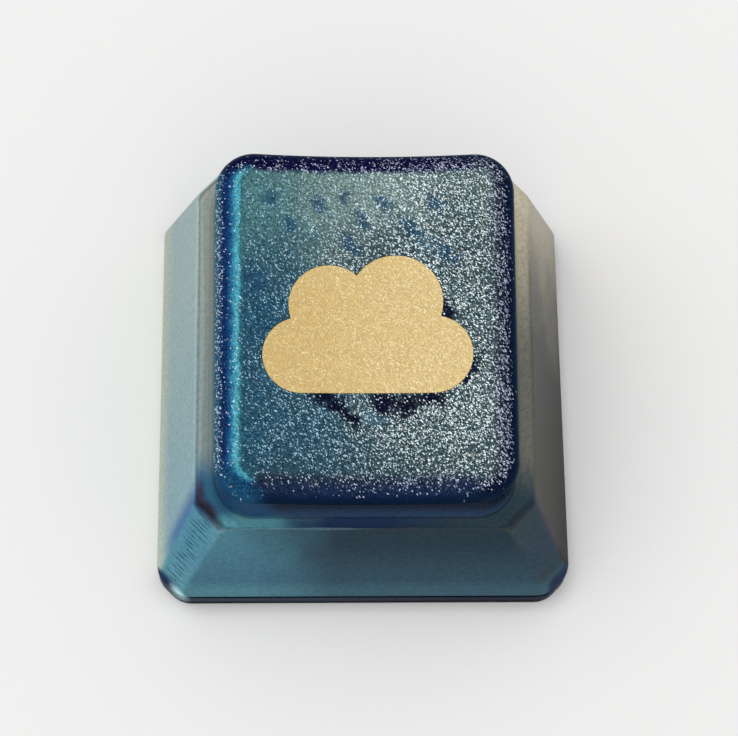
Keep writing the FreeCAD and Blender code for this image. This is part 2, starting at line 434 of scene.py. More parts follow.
def inside_loops(points, loops):
    """Which points lie inside an odd number of closed loops."""
    inside = np.zeros(len(points), bool)
    across = points[:, 0, None]
    along = points[:, 1, None]
    for loop in loops:
        first = np.array(loop)
        second = np.roll(first, -1, axis=0)
        rise = second[:, 1] - first[:, 1]
        level = np.abs(rise) < LEVEL_RISE
        slope = (second[:, 0] - first[:, 0]) / np.where(level, 1.0, rise)
        passes = (first[:, 1] > along) != (second[:, 1] > along)
        meets = first[:, 0] + (along - first[:, 1]) * slope
        inside ^= (passes & (across < meets)).sum(axis=1) % 2 == 1
    return inside


def loop_gaps(points, loop):
    """Distance of each flat point from a closed loop."""
    first = np.array(loop)
    step = np.roll(first, -1, axis=0) - first
    gaps = []
    for point in np.array(points):
        share = ((point - first) * step).sum(axis=1) / (step**2).sum(axis=1)
        nearest = first + step * np.clip(share, 0.0, 1.0)[:, None]
        gaps.append(np.hypot(*(nearest - point).T).min())
    return np.array(gaps)


class KeycapForm:
    """Sizes that follow from the given ones, and the surfaces that the meshes follow."""

    def __init__(self, sizes):
        self.sizes = sizes
        self.half_width = sizes.base_width / 2
        self.half_depth = sizes.base_depth / 2
        self.ledge_half_width = self.half_width - sizes.side_slope_inset
        self.ledge_front = -self.half_depth + sizes.front_slope_inset
        self.ledge_back = self.half_depth - sizes.back_slope_inset
        self.pad_half_width = self.ledge_half_width - sizes.side_ledge
        self.pad_front = self.ledge_front + sizes.front_ledge
        self.pad_back = self.ledge_back - sizes.back_ledge
        rise = sizes.back_height - sizes.front_height
        self.tilt = math.atan2(rise, self.pad_back - self.pad_front)
        middle_y = (self.pad_front + self.pad_back) / 2
        self.top_middle = Vector((0, middle_y, (sizes.front_height + sizes.back_height) / 2))
        self.ledge_middle = self.top_middle - Vector((0, 0, sizes.pad_rise))
        self.turn = Matrix.Rotation(self.tilt, 3, "X")
        self.normal = self.turn @ Vector((0, 0, 1))
        self.dish_radius = (self.pad_half_width**2 + sizes.dish_depth**2) / (2 * sizes.dish_depth)

    def on_top(self, point, depth=0.0):
        """Point of the dish, or of the surface at a depth below it, from flat coordinates on the top."""
        lift = self.dish_radius - self.sizes.dish_depth
        lift -= math.sqrt((self.dish_radius + depth) ** 2 - point[0] ** 2)
        return self.top_middle + self.turn @ Vector((point[0], point[1], lift))

    def flat_on_top(self, point):
        """Flat coordinates on the top of a point near it."""
        local = self.turn.transposed() @ (point - self.top_middle)
        return Vector((local.x, local.y))

    def on_plane(self, points, middle, drop):
        """Upright projection of flat points to the tilted plane that lies a drop below a point."""
        start = middle - self.normal * drop
        return [Vector((p.x, p.y, start.z + (p.y - start.y) * math.tan(self.tilt))) for p in points]

    def tilted(self, points, middle):
        """Ring in the tilted plane through a point, from flat points."""
        return [middle + self.turn @ Vector((point.x, point.y, 0)) for point in points]

    def along_tilt(self, distance):
        """Length along the tilted planes that covers a level distance from front to back."""
        return distance / math.cos(self.tilt)

    def tilted_span(self, inset):
        """Front and back of the ledge in its own plane, moved in by an inset."""
        front = self.along_tilt(self.ledge_front + inset - self.ledge_middle.y)
        back = self.along_tilt(self.ledge_back - inset - self.ledge_middle.y)
        return front, back

    def rim_outline(self):
        """Outline of the upright rim."""
        sizes = self.sizes
        radii = 4 * [sizes.rim_front_softening] + 4 * [sizes.bevel_softening]
        return skirt_outline(self.half_width, -self.half_depth, self.half_depth, sizes.rim_bevel, radii)

    def pad_outline(self):
        """Outline of the pad's upright side."""
        return block_outline(self.pad_half_width, self.pad_front, self.pad_back, self.sizes.pad_corner_radius)

    def ledge_ring(self):
        """Upper edge of the sloping walls."""
        sizes = self.sizes
        front, back = self.tilted_span(0.0)
        radii = 8 * [sizes.bevel_softening]
        points, _ = skirt_outline(self.ledge_half_width, front, back, sizes.ledge_bevel, radii)
        return self.tilted(points, self.ledge_middle)


class FacePile:
    """Faces gathered for one mesh, with the finish of each face and the edge turn of each point."""

    def __init__(self):
        self.points = []
        self.turns = []
        self.faces = []
        self.finishes = []

    def band(self, first, second, finish, first_turn, second_turn):
        """Strip of quads between two closed rings, outwards where the second ring lies above the first."""
        start = len(self.points)
        count = len(first)
        self.points.extend(first)
        self.points.extend(second)
        self.turns.extend([first_turn] * count + [second_turn] * count)
        for index in range(count):
            following = (index + 1) % count
            self.faces.append(
                (start + index, start + following, start + count + following, start + count + index)
            )
            self.finishes.append(finish)

    def bands(self, rings, finish, turn=1.0):
        """Strips between the rings of a list, all at one edge turn."""
        for first, second in zip(rings, rings[1:]):
            self.band(first, second, finish, turn, turn)

    def fill(self, loops, place, finish, spacing, upward, turn_span=None):
        """Triangles between flat loops, the first of which holds the others, put in place by a function.

        With a turn span, the edge turn falls below zero from the first loop inwards.
        """
        edges = []
        flat = []
        flat_loops = [[(point[0] / MM, point[1] / MM) for point in loop] for loop in loops]
        for loop in flat_loops:
            start = len(flat)
            flat.extend(loop)
            edges.extend((start + index, start + (index + 1) % len(loop)) for index in range(len(loop)))
        border = np.array(flat)
        step = spacing / MM
        low = border.min(axis=0)
        high = border.max(axis=0)
        rows = np.arange(low[1] + step / 2, high[1], step * math.sqrt(3) / 2)
        grid = []
        for index, row in enumerate(rows):
            shift = step / 2 if index % 2 else 0.0
            grid.extend((x, row) for x in np.arange(low[0] + shift, high[0], step))
        if grid:
            grid = np.array(grid)
            grid = grid[inside_loops(grid, flat_loops)]
            for loop in flat_loops:
                grid = grid[loop_gaps(grid, loop) > step * GRID_CLEARANCE] if len(grid) else grid
            flat.extend(map(tuple, grid))
        vectors = [Vector(point) for point in flat]
        points, _, triangles, _, _, _ = delaunay_2d_cdt(vectors, edges, [], 0, MERGE_DISTANCE)
        middles = np.array([[sum(points[i][axis] for i in tri) / 3 for axis in (0, 1)] for tri in triangles])
        kept = inside_loops(middles, flat_loops)
        start = len(self.points)
        self.points.extend(place((point.x * MM, point.y * MM)) for point in points)
        if turn_span:
            self.turns.extend(-loop_gaps([tuple(point) for point in points], flat_loops[0]) * MM / turn_span)
        else:
            self.turns.extend([1.0] * len(points))
        for triangle, keep in zip(triangles, kept):
            if keep:
                order = triangle if upward else tuple(reversed(triangle))
                self.faces.append(tuple(start + index for index in order))
                self.finishes.append(finish)

    def make_object(self, name, materials):
        """Merged, smoothly shaded object of the gathered faces."""
        mesh = bpy.data.meshes.new(name)
        mesh.from_pydata(self.points, [], self.faces)
        for material in materials:
            mesh.materials.append(material)
        mesh.polygons.foreach_set("material_index", self.finishes)
        turn = mesh.attributes.new("edge_turn", "FLOAT", "POINT")
        turn.data.foreach_set("value", self.turns)
        work = bmesh.new()
        work.from_mesh(mesh)
        bmesh.ops.remove_doubles(work, verts=work.verts, dist=MERGE_DISTANCE)
        loose = [vertex for vertex in work.verts if not vertex.link_faces]
        bmesh.ops.delete(work, geom=loose, context="VERTS")
        for edge in work.edges:
            edge.smooth = len(edge.link_faces) == 2 and edge.calc_face_angle() < SHARP_ANGLE
        for face in work.faces:
            face.smooth = True
        work.to_mesh(mesh)
        work.free()
        made = bpy.data.objects.new(name, mesh)
        bpy.context.scene.collection.objects.link(made)
        shading = made.modifiers.new("Even Shading", "WEIGHTED_NORMAL")
        shading.keep_sharp = True
        return freeze(made)


def freeze(made):
    """Turn an object's modifiers into a plain mesh."""
    graph = bpy.context.evaluated_depsgraph_get()
    finished = made.evaluated_get(graph)
    mesh = bpy.data.meshes.new_from_object(finished, preserve_all_data_layers=True, depsgraph=graph)
    made.modifiers.clear()
    mesh.name = made.name
    made.data = mesh
    return made


def add_skirt(pile, form):
    """Rim, sloping walls and ledge, up to the foot of the pad."""
    sizes = form.sizes
    outline, outward = form.rim_outline()
    foot = []
    for step in range(FOOT_STEPS + 1):
        sweep = math.pi / 2 * step / FOOT_STEPS
        inset = sizes.rim_edge_break * (1 - math.sin(sweep))
        height = sizes.rim_edge_break * (1 - math.cos(sweep))
        foot.append(at_height([point - way * inset for point, way in zip(outline, outward)], height))
    rim_top = at_height(outline, sizes.rim_height)
    ledge = form.ledge_ring()
    pad_foot = pad_foot_rings(form)
    rim_edge = soft_edge_rings(foot[-1], rim_top, ledge, sizes.edge_softening)
    middle = SOFT_STEPS // 2
    pile.bands(foot + rim_edge[: middle + 1], RIM)
    ledge_edge = soft_edge_rings(rim_top, ledge, pad_foot[0], sizes.ledge_softening)
    pile.bands(rim_edge[middle:] + ledge_edge + [pad_foot[0]], SKIRT)
    return foot[0]


def pad_foot_rings(form):
    """Hollow blend from the ledge to the pad's side."""
    sizes = form.sizes
    radius = sizes.ledge_fillet
    outline, outward = form.pad_outline()
    middles = form.on_plane(
        [point + way * radius for point, way in zip(outline, outward)], form.ledge_middle, -radius
    )
    rings = []
    for step in range(FILLET_STEPS + 1):
        ring = []
        for middle, way in zip(middles, outward):
            inward = Vector((-way.x, -way.y, 0))
            ring.append(middle + swing(-form.normal, inward, step / FILLET_STEPS) * radius)
        rings.append(ring)
    return rings


def pad_edge_rings(form):
    """Rounded upper edge of the pad, from its side to the dish."""
    sizes = form.sizes
    radius = sizes.top_edge_radius
    outline, outward = form.pad_outline()
    axis_lift = form.dish_radius - sizes.dish_depth
    rings = [[] for _ in range(TOP_EDGE_STEPS + 1)]
    for point, way in zip(outline, outward):
        inner = point - way * radius
        lift = axis_lift - math.sqrt((form.dish_radius + radius) ** 2 - inner.x**2)
        level = inner.y - form.top_middle.y
        height = form.top_middle.z + (lift + level * math.sin(form.tilt)) / math.cos(form.tilt)
        middle = Vector((inner.x, inner.y, height))
        to_dish = (form.turn @ Vector((-inner.x, 0, axis_lift - lift))).normalized()
        to_side = Vector((way.x, way.y, 0))
        for step, ring in enumerate(rings):
            ring.append(middle + swing(to_side, to_dish, step / TOP_EDGE_STEPS) * radius)
    return rings


def add_pad(pile, form):
    """Pad's foot, side and rounded upper edge. Gives the ring where the dish begins."""
    foot = pad_foot_rings(form)
    edge = pad_edge_rings(form)
    side = []
    for step in range(PAD_WALL_STEPS + 1):
        share = step / PAD_WALL_STEPS
        side.append([low.lerp(high, share) for low, high in zip(foot[-1], edge[0])])
    pile.bands(foot, PAD_SIDE)
    pile.bands(side, PAD_SIDE)
    for step in range(TOP_EDGE_STEPS):
        pile.band(
            edge[step], edge[step + 1], BLASTED, 1 - step / TOP_EDGE_STEPS, 1 - (step + 1) / TOP_EDGE_STEPS
        )
    return edge[-1]


def circle_crossing(first, second):
    """Outer crossing of two lobes, given as middle and radius, for a walk that turns left."""
    (middle, radius), (other, other_radius) = first, second
    gap = other - middle
    reach = gap.length
    along = (reach**2 + radius**2 - other_radius**2) / (2 * reach)
    across = math.sqrt(radius**2 - along**2)
    way = gap / reach
    return middle + way * along + Vector((way.y, -way.x)) * across


def cloud_outline(cloud):
    """Outline of the cloud and its outward directions, counter-clockwise from the base's left end."""
    left_end = (Vector((cloud.left_end_x, cloud.base + cloud.left_end_radius)), cloud.left_end_radius)
    right_end = (Vector((cloud.right_end_x, cloud.base + cloud.right_end_radius)), cloud.right_end_radius)
    left_crown = (Vector((cloud.left_crown_x, cloud.left_crown_y)), cloud.left_crown_radius)
    right_crown = (Vector((cloud.right_crown_x, cloud.right_crown_y)), cloud.right_crown_radius)
    lobes = [right_end, right_crown, left_crown, left_end]
    meetings = [Vector((cloud.right_end_x, cloud.base))]
    meetings += [circle_crossing(first, second) for first, second in zip(lobes, lobes[1:])]
    meetings.append(Vector((cloud.left_end_x, cloud.base)))
    points = []
    base_steps = round((cloud.right_end_x - cloud.left_end_x) / OUTLINE_STEP)
    for step in range(base_steps):
        points.append(meetings[-1].lerp(meetings[0], step / base_steps))
    for (middle, radius), start, end in zip(lobes, meetings, meetings[1:]):
        first = math.atan2(start.y - middle.y, start.x - middle.x)
        last = math.atan2(end.y - middle.y, end.x - middle.x)
        sweep = (last - first) % (2 * math.pi)
        steps = max(LEAST_LOBE_STEPS, round(sweep * radius / OUTLINE_STEP))
        for step in range(steps):
            turn = first + sweep * step / steps
            points.append(middle + Vector((math.cos(turn), math.sin(turn))) * radius)
    outward = []
    for index in range(len(points)):
        ahead = points[(index + 1) % len(points)] - points[index - 1]
        outward.append(Vector((ahead.y, -ahead.x)).normalized())
    return points, outward


def cloud_edge_rings(form, cloud, side):
    """Rings that round the pocket's edge (side 1) or the fill's edge (side -1), from the dish inwards."""
    points, outward = cloud_outline(cloud)
    reach = cloud.edge_softening
    rings = []
    for step in range(SOFT_STEPS + 1):
        share = step / SOFT_STEPS
        offset = side * reach * (1 - share) ** 2
        depth = reach * share**2
        rings.append([form.on_top(point + way * offset, depth) for point, way in zip(points, outward)])
    return rings


def cloud_loop(cloud, offset):
    """Flat outline of the cloud, moved out by an offset."""
    points, outward = cloud_outline(cloud)
    return [point + way * offset for point, way in zip(points, outward)]


def add_dish(pile, form, cloud, dish_ring):
    """Dish with the cloud's pocket."""
    border = [form.flat_on_top(point) for point in dish_ring]
    mouth = cloud_loop(cloud, cloud.edge_softening)
    pile.fill([border, mouth], form.on_top, BLASTED, TOP_SPACING, True, EDGE_SPAN)
    pocket = cloud_edge_rings(form, cloud, 1)
    pocket.append([form.on_top(point, cloud.depth) for point in cloud_loop(cloud, 0.0)])
    pile.bands(pocket, BLASTED, -1.0)
    pile.fill(
        [cloud_loop(cloud, 0.0)], lambda point: form.on_top(point, cloud.depth), INSIDE, FLAT_SPACING, True
    )


def circle_points(radius):
    """Flat circle about the stem's axis."""
    turns = [2 * math.pi * step / CIRCLE_STEPS for step in range(CIRCLE_STEPS)]
    return [Vector((math.cos(turn), math.sin(turn))) * radius for turn in turns]


def cross_points(arm, half_width):
    """Flat outline of the cross-shaped socket, counter-clockwise."""
    quarter = [Vector((arm, -half_width)), Vector((arm, half_width)), Vector((half_width, half_width))]
    points = []
    for turn in range(4):
        points += [Matrix.Rotation(turn * math.pi / 2, 2) @ point for point in quarter]
    return points


def add_underside(pile, form, foot_ring):
    """Hollow, stem and socket, out to the ring on which the keycap stands."""
    sizes = form.sizes
    arm = sizes.socket_length / 2
    half_slot = sizes.socket_width / 2
    socket = cross_points(arm, half_slot)
    mouth = cross_points(arm + sizes.socket_lead_in, half_slot + sizes.socket_lead_in)
    end = sizes.stem_recess
    socket_top = end + sizes.socket_depth
    pile.fill([socket], lambda point: Vector((*point, socket_top)), INSIDE, FLAT_SPACING, False)
    pile.bands(
        [at_height(socket, socket_top), at_height(socket, end + sizes.socket_lead_in), at_height(mouth, end)],
        INSIDE,
    )
    stem_radius = sizes.stem_diameter / 2
    stem = circle_points(stem_radius)
    stem_end = circle_points(stem_radius - sizes.edge_softening)
    pile.fill([stem_end, mouth], lambda point: Vector((*point, end)), INSIDE, FLAT_SPACING, False)
    roof_drop = sizes.dish_depth + sizes.roof_thickness
    stem_top = form.on_plane(stem, form.top_middle, roof_drop)
    pile.bands([at_height(stem_end, end), at_height(stem, end + sizes.edge_softening), stem_top], INSIDE)
    throat, _ = block_outline(
        form.pad_half_width - sizes.pad_wall,
        form.pad_front + sizes.pad_wall,
        form.pad_back - sizes.pad_wall,
        sizes.hollow_corner_radius,
    )
    pile.fill(
        [throat, stem],
        lambda point: form.on_plane([Vector(point)], form.top_middle, roof_drop)[0],
        INSIDE,
        FLAT_SPACING,
        False,
    )
    mouth_outline, _ = block_outline(
        form.half_width - sizes.skirt_wall,
        -form.half_depth + sizes.skirt_wall,
        form.half_depth - sizes.skirt_wall,
        sizes.hollow_corner_radius,
    )
    front, back = form.tilted_span(sizes.skirt_wall)
    shoulder, _ = block_outline(
        form.ledge_half_width - sizes.skirt_wall, front, back, sizes.hollow_corner_radius
    )
    mouth_top = at_height(mouth_outline, sizes.rim_height)
    shoulder_drop = form.ledge_middle - form.normal * sizes.ledge_thickness
    slope = []
    for low, high in zip(mouth_top, form.tilted(shoulder, form.ledge_middle)):
        below = (low - shoulder_drop).dot(form.normal)
        above = (high - shoulder_drop).dot(form.normal)
        slope.append(low.lerp(high, below / (below - above)))
    pile.bands(
        [
            form.on_plane(throat, form.top_middle, roof_drop),
            form.on_plane(throat, form.ledge_middle, sizes.ledge_thickness),
            slope,
            mouth_top,
            at_height(mouth_outline, 0.0),
        ],
        INSIDE,
    )
    pile.bands([at_height(mouth_outline, 0.0), foot_ring], RIM)


def add_node(tree, kind, inputs=None, **settings):
    """New node with its settings, and values or links for its inputs."""
    node = tree.nodes.new(kind)
    for key, value in settings.items():
        setattr(node, key, value)
    for key, value in (inputs or {}).items():
        if isinstance(value, bpy.types.NodeSocket):
            tree.links.new(value, node.inputs[key])
        else:
            node.inputs[key].default_value = value
    return node


def calculate(tree, operation, first, second=0.0, clamp=False):
    """Result of a sum, product or other plain operation."""
    node = add_node(tree, "ShaderNodeMath", {0: first, 1: second}, operation=operation, use_clamp=clamp)
    return node.outputs[0]


def ease(tree, value, start, end, low=0.0, high=1.0):
    """Smooth step from a low to a high value as the given one goes from start to end."""
    inputs = {"Value": value, "From Min": start, "From Max": end, "To Min": low, "To Max": high}
    return add_node(tree, "ShaderNodeMapRange", inputs, interpolation_type="SMOOTHSTEP").outputs["Result"]


def ease_straight(tree, value, start, end, low=0.0, high=1.0):
    """Even change from a low to a high value as the given one goes from start to end."""
    inputs = {"Value": value, "From Min": start, "From Max": end, "To Min": low, "To Max": high}
    return add_node(tree, "ShaderNodeMapRange", inputs).outputs["Result"]


def product(tree, first, *others):
    """Product of two or more numbers."""
    result = first
    for factor in others:
        result = calculate(tree, "MULTIPLY", result, factor)
    return result


def scaled(tree, vector, factor):
    """Colour or other vector times a factor."""
    inputs = {0: vector, "Scale": factor}
    return add_node(tree, "ShaderNodeVectorMath", inputs, operation="SCALE").outputs["Vector"]


def mix(tree, share, first, second):
    """Colour part of the way from the first to the second."""
    return add_node(tree, "ShaderNodeMix", {0: share, 6: first, 7: second}, data_type="RGBA").outputs[2]


def mix_value(tree, share, first, second):
    """Number part of the way from the first to the second."""
    return add_node(tree, "ShaderNodeMix", {0: share, 2: first, 3: second}, data_type="FLOAT").outputs[0]


def ramp(tree, value, stops):
    """Tone and cover at a place along a list of stops."""
    node = add_node(tree, "ShaderNodeValToRGB", {"Fac": value})
    elements = node.color_ramp.elements
    for index, (place, tone, cover) in enumerate(stops):
        element = elements[index] if index < 2 else elements.new(place)
        element.position = place
        element.color = (*from_srgb(*tone)[:3], cover)
    return node.outputs["Color"], node.outputs["Alpha"]


def noise(tree, position, scale, detail=2.0, roughness=0.5):
    """Soft noise over a position in millimetres."""
    inputs = {"Vector": position, "Scale": scale, "Detail": detail, "Roughness": roughness}
    return add_node(tree, "ShaderNodeTexNoise", inputs).outputs["Fac"]


def new_group(name, inputs, outputs, kind="ShaderNodeTree"):
    """Empty node group with named sockets, and its input and output nodes."""
    group = bpy.data.node_groups.new(name, kind)
    for label, socket in inputs:
        group.interface.new_socket(label, in_out="INPUT", socket_type=socket)
    for label, socket in outputs:
        group.interface.new_socket(label, in_out="OUTPUT", socket_type=socket)
    return group, group.nodes.new("NodeGroupInput"), group.nodes.new("NodeGroupOutput")


def place_group(tree, group, inputs):
    """Outputs of a node group that is placed in a material."""
    return add_node(tree, "ShaderNodeGroup", inputs, node_tree=group).outputs


def spot_group():
    """Soft-edged oval mask at a place on the top."""
    group, start, end = new_group(
        "Soft Spot",
        [
            ("Position", "NodeSocketVector"),
            ("Centre", "NodeSocketVector"),
            ("Turn", "NodeSocketVector"),
            ("Reach", "NodeSocketVector"),
            ("Core", "NodeSocketFloat"),
        ],
        [("Mask", "NodeSocketFloat")],
    )
    local = add_node(
        group,
        "ShaderNodeMapping",
        {
            "Vector": start.outputs["Position"],
            "Location": start.outputs["Centre"],
            "Rotation": start.outputs["Turn"],
            "Scale": start.outputs["Reach"],
        },
        vector_type="TEXTURE",
    )
    distance = add_node(group, "ShaderNodeVectorMath", {0: local.outputs[0]}, operation="LENGTH")
    mask = ease(group, distance.outputs["Value"], 1.0, start.outputs["Core"])
    group.links.new(mask, end.inputs["Mask"])
    return group


def grain_group():
    """Blasted grain of fine facets: painted glints of bright ones, tone changes and height."""
    group, start, end = new_group(
        "Blasted Grain",
        [("Position", "NodeSocketVector"), ("Scale", "NodeSocketFloat"), ("Density", "NodeSocketFloat")],
        [("Glint", "NodeSocketFloat"), ("Tone", "NodeSocketFloat"), ("Height", "NodeSocketFloat")],
    )
    slanted = add_node(
        group,
        "ShaderNodeMapping",
        {
            "Vector": start.outputs["Position"],
            "Rotation": (0.0, 0.0, GRAIN_SLANT),
            "Scale": GRAIN_STRETCH,
        },
        vector_type="TEXTURE",
    )
    cells = add_node(
        group,
        "ShaderNodeTexVoronoi",
        {"Vector": slanted.outputs[0], "Scale": start.outputs["Scale"]},
        voronoi_dimensions="2D",
    )
    chance = add_node(group, "ShaderNodeSeparateColor", {"Color": cells.outputs["Color"]}).outputs
    density = calculate(group, "MAXIMUM", start.outputs["Density"], LEAST_DENSITY)
    power = calculate(group, "SUBTRACT", calculate(group, "DIVIDE", GLINT_GAIN, density), 1.0)
    glint = calculate(group, "MULTIPLY", calculate(group, "POWER", chance[0], power), GLINT_GAIN, True)
    group.links.new(glint, end.inputs["Glint"])
    group.links.new(chance[2], end.inputs["Tone"])
    group.links.new(cells.outputs["Distance"], end.inputs["Height"])
    return group


def new_material(name):
    """Material with an empty node tree that holds a shader joined to its output."""
    material = bpy.data.materials.new(name)
    material.use_nodes = True
    tree = material.node_tree
    tree.nodes.clear()
    shader = tree.nodes.new("ShaderNodeBsdfPrincipled")
    output = tree.nodes.new("ShaderNodeOutputMaterial")
    tree.links.new(shader.outputs["BSDF"], output.inputs["Surface"])
    return material, tree, shader


def object_position(tree):
    """Position on the piece in millimetres, and the direction its surface faces."""
    source = tree.nodes.new("ShaderNodeTexCoord")
    return scaled(tree, source.outputs["Object"], 1 / MM), source.outputs["Normal"]


def split(tree, vector):
    """X, Y and Z of a vector."""
    return add_node(tree, "ShaderNodeSeparateXYZ", {0: vector}).outputs


def wander(tree, value, position, scale, reach):
    """Number with a soft random shift, up to a reach in millimetres either way."""
    shift = ease(tree, noise(tree, position, scale), *DRIFT_SPAN, -reach, reach)
    return calculate(tree, "ADD", value, shift)


def ragged_position(tree, position, scale, reach):
    """Position that is shifted at random, so that the edges of spots are ragged."""
    swirl = add_node(tree, "ShaderNodeTexNoise", {"Vector": position, "Scale": scale, "Detail": 3.0})
    inputs = {0: swirl.outputs["Color"], 1: (reach, reach, 0.0), 2: position}
    shifted = add_node(tree, "ShaderNodeVectorMath", inputs, operation="MULTIPLY_ADD")
    inputs = {0: shifted.outputs["Vector"], 1: (reach / 2, reach / 2, 0.0)}
    return add_node(tree, "ShaderNodeVectorMath", inputs, operation="SUBTRACT").outputs["Vector"]


def height_over_ledge(tree, form, position):
    """Upright height in millimetres over the tilted plane of the ledge."""
    slope = math.tan(form.tilt)
    level = add_node(
        tree, "ShaderNodeVectorMath", {0: position, 1: (0.0, -slope, 1.0)}, operation="DOT_PRODUCT"
    ).outputs["Value"]
    return calculate(tree, "SUBTRACT", level, (form.ledge_middle.z - form.ledge_middle.y * slope) / MM)


def finish_film(tree, shader, tint, fine, finish):
    """Metal of a tint, with the fine changes of tone and roughness of a finish."""
    tone, gloss = finish
    toned = scaled(tree, tint, ease(tree, fine, *FINE_SPAN, *tone))
    tree.links.new(toned, shader.inputs["Base Color"])
    tree.links.new(ease(tree, fine, *FINE_SPAN, *gloss), shader.inputs["Roughness"])
    shader.inputs["Metallic"].default_value = 1.0
    return toned


def add_bump(tree, shader, height, strength, distance):
    """Fine relief."""
    bump = add_node(tree, "ShaderNodeBump", {"Height": height, "Strength": strength, "Distance": distance})
    tree.links.new(bump.outputs["Normal"], shader.inputs["Normal"])


# How the metal reflects at a glancing angle
EDGE_TINT = (0.5, 0.56, 0.62, 1.0)
WALL_TINT = (0.7, 0.7, 0.72, 1.0)
RIM_TINT = (0.3, 0.31, 0.34, 1.0)
PAD_TINT = (0.06, 0.13, 0.28, 1.0)

# Size of a spot's even core beside its reach, and how strongly each kind of spot covers the film
BLOTCH_CORE, BLOTCH_STRENGTH = 0.3, 0.75
GLOW_CORE, GLOW_STRENGTH = 0.1, 0.5
STAIN_CORE, STAIN_STRENGTH = 0.25, 0.94
UPRIGHT_REACH = 1000.0

# Part of the top, from left to right, over which the painted glints of bright facets become more
GRAIN_SPAN = (-6.0, 3.5)

# Soft spots of the film on the top: middle, reach and turn, in millimetres and degrees
BLOTCHES = [
    ((-4.0, 5.1), (0.4, 0.5), 0),
    ((-3.2, 4.1), (0.4, 0.55), 30),
    ((-1.95, 4.85), (0.36, 0.8), 48),
    ((-0.95, 5.25), (0.3, 0.36), 30),
    ((-0.1, 4.2), (0.36, 0.8), 30),
    ((0.72, 5.05), (0.38, 0.8), 50),
    ((-0.68, 3.2), (0.36, 0.85), 34),
    ((2.98, 4.95), (0.55, 0.7), 45),
    ((1.9, 3.9), (0.45, 1.0), 55),
    ((3.5, 2.75), (0.45, 1.0), 45),
    ((-4.6, 1.6), (0.7, 0.9), 0),
]

# Brighter blue spots round the cloud, in the same way
GLOWS = [
    ((-4.0, -2.6), (0.9, 0.5), -40),
    ((-3.3, 0.7), (0.35, 0.9), 0),
    ((0.3, -4.3), (0.9, 0.5), -30),
    ((2.6, 3.2), (0.5, 0.8), 30),
]

# Dark stains of the film below and beside the cloud, in the same way
STAINS = [
    ((-1.9, -3.3), (1.0, 0.5), -18),
    ((-1.25, -3.75), (1.0, 0.42), -36),
    ((-0.62, -4.35), (0.8, 0.42), -42),
    ((0.75, -3.6), (1.0, 0.8), -14),
    ((1.65, -3.75), (0.95, 0.8), 0),
    ((2.7, -3.4), (1.15, 0.65), 12),
    ((4.3, -2.3), (0.5, 1.1), -38),
    ((3.45, 0.2), (0.4, 0.85), 25),
]

# Film on the rounded upper edge, from a little inside the dish (0) to the side (1): place, tone and cover
# The navy and indigo bands are partly the film's tone and partly painted reflection of dark surroundings
EDGE_SPAN_START = -0.35
LEFT_EDGE = [
    (0.24, (44, 100, 112), 0.0),
    (0.3, (48, 104, 118), 0.8),
    # Painted highlight: the cyan line at the left, where the edge meets the dish
    (0.34, (74, 150, 163), 1.0),
    (0.38, (72, 150, 170), 1.0),
    (0.44, (42, 104, 136), 1.0),
    (0.49, (24, 72, 110), 1.0),
    (0.55, (19, 46, 94), 1.0),
    (0.63, (20, 44, 88), 1.0),
    (0.75, (38, 88, 116), 1.0),
    (0.95, (60, 114, 134), 1.0),
]
BACK_EDGE = [
    (0.25, (70, 100, 110), 0.0),
    (0.295, (44, 64, 84), 0.7),
    (0.34, (15, 16, 58), 1.0),
    (0.6, (15, 10, 54), 1.0),
    (1.0, (26, 24, 48), 1.0),
]
RIGHT_EDGE = [
    (0.29, (62, 76, 84), 0.0),
    (0.38, (40, 50, 66), 0.8),
    (0.48, (24, 30, 54), 1.0),
    (0.58, (13, 20, 48), 1.0),
    (0.8, (18, 30, 54), 1.0),
    (1.0, (30, 42, 56), 1.0),
]
FRONT_EDGE = [
    (0.13, (50, 70, 80), 0.0),
    (0.25, (42, 60, 72), 0.7),
    (0.34, (34, 47, 66), 1.0),
    (0.43, (33, 48, 76), 1.0),
    (0.62, (30, 46, 78), 1.0),
    (0.74, (18, 34, 64), 1.0),
    (0.86, (15, 30, 56), 1.0),
    (1.0, (15, 28, 52), 1.0),
]


# The film's functions compare places in millimetres from the middle of the rim, the ways that faces look
# from -1 to 1, and the turn of the upper edge from 0 at the dish to 1 at the side.


def spots_mask(tree, group, position, spots, form, core, strength):
    """Strongest of several soft spots, at a strength."""
    mask = None
    for (across, along), (reach_x, reach_y), turn in spots:
        centre = form.on_top((across * MM, along * MM)) / MM
        inputs = {
            "Position": position,
            "Centre": (centre.x, centre.y, 0.0),
            "Turn": (0.0, 0.0, math.radians(turn)),
            "Reach": (reach_x, reach_y, UPRIGHT_REACH),
            "Core": core,
        }
        found = place_group(tree, group, inputs)["Mask"]
        mask = found if mask is None else calculate(tree, "MAXIMUM", mask, found)
    return product(tree, mask, strength)


def edge_film(tree, turn, left, right, front):
    """Tone and cover of the film on the rounded upper edge, side by side, with its painted highlight and
    painted dark reflection.
    """
    place = ease_straight(tree, turn, EDGE_SPAN_START, 1.0)
    tone, cover = ramp(tree, place, BACK_EDGE)
    for stops, share in ((FRONT_EDGE, front), (RIGHT_EDGE, right), (LEFT_EDGE, left)):
        side_tone, side_cover = ramp(tree, place, stops)
        tone = mix(tree, share, tone, side_tone)
        cover = mix_value(tree, share, cover, side_cover)
    return tone, cover


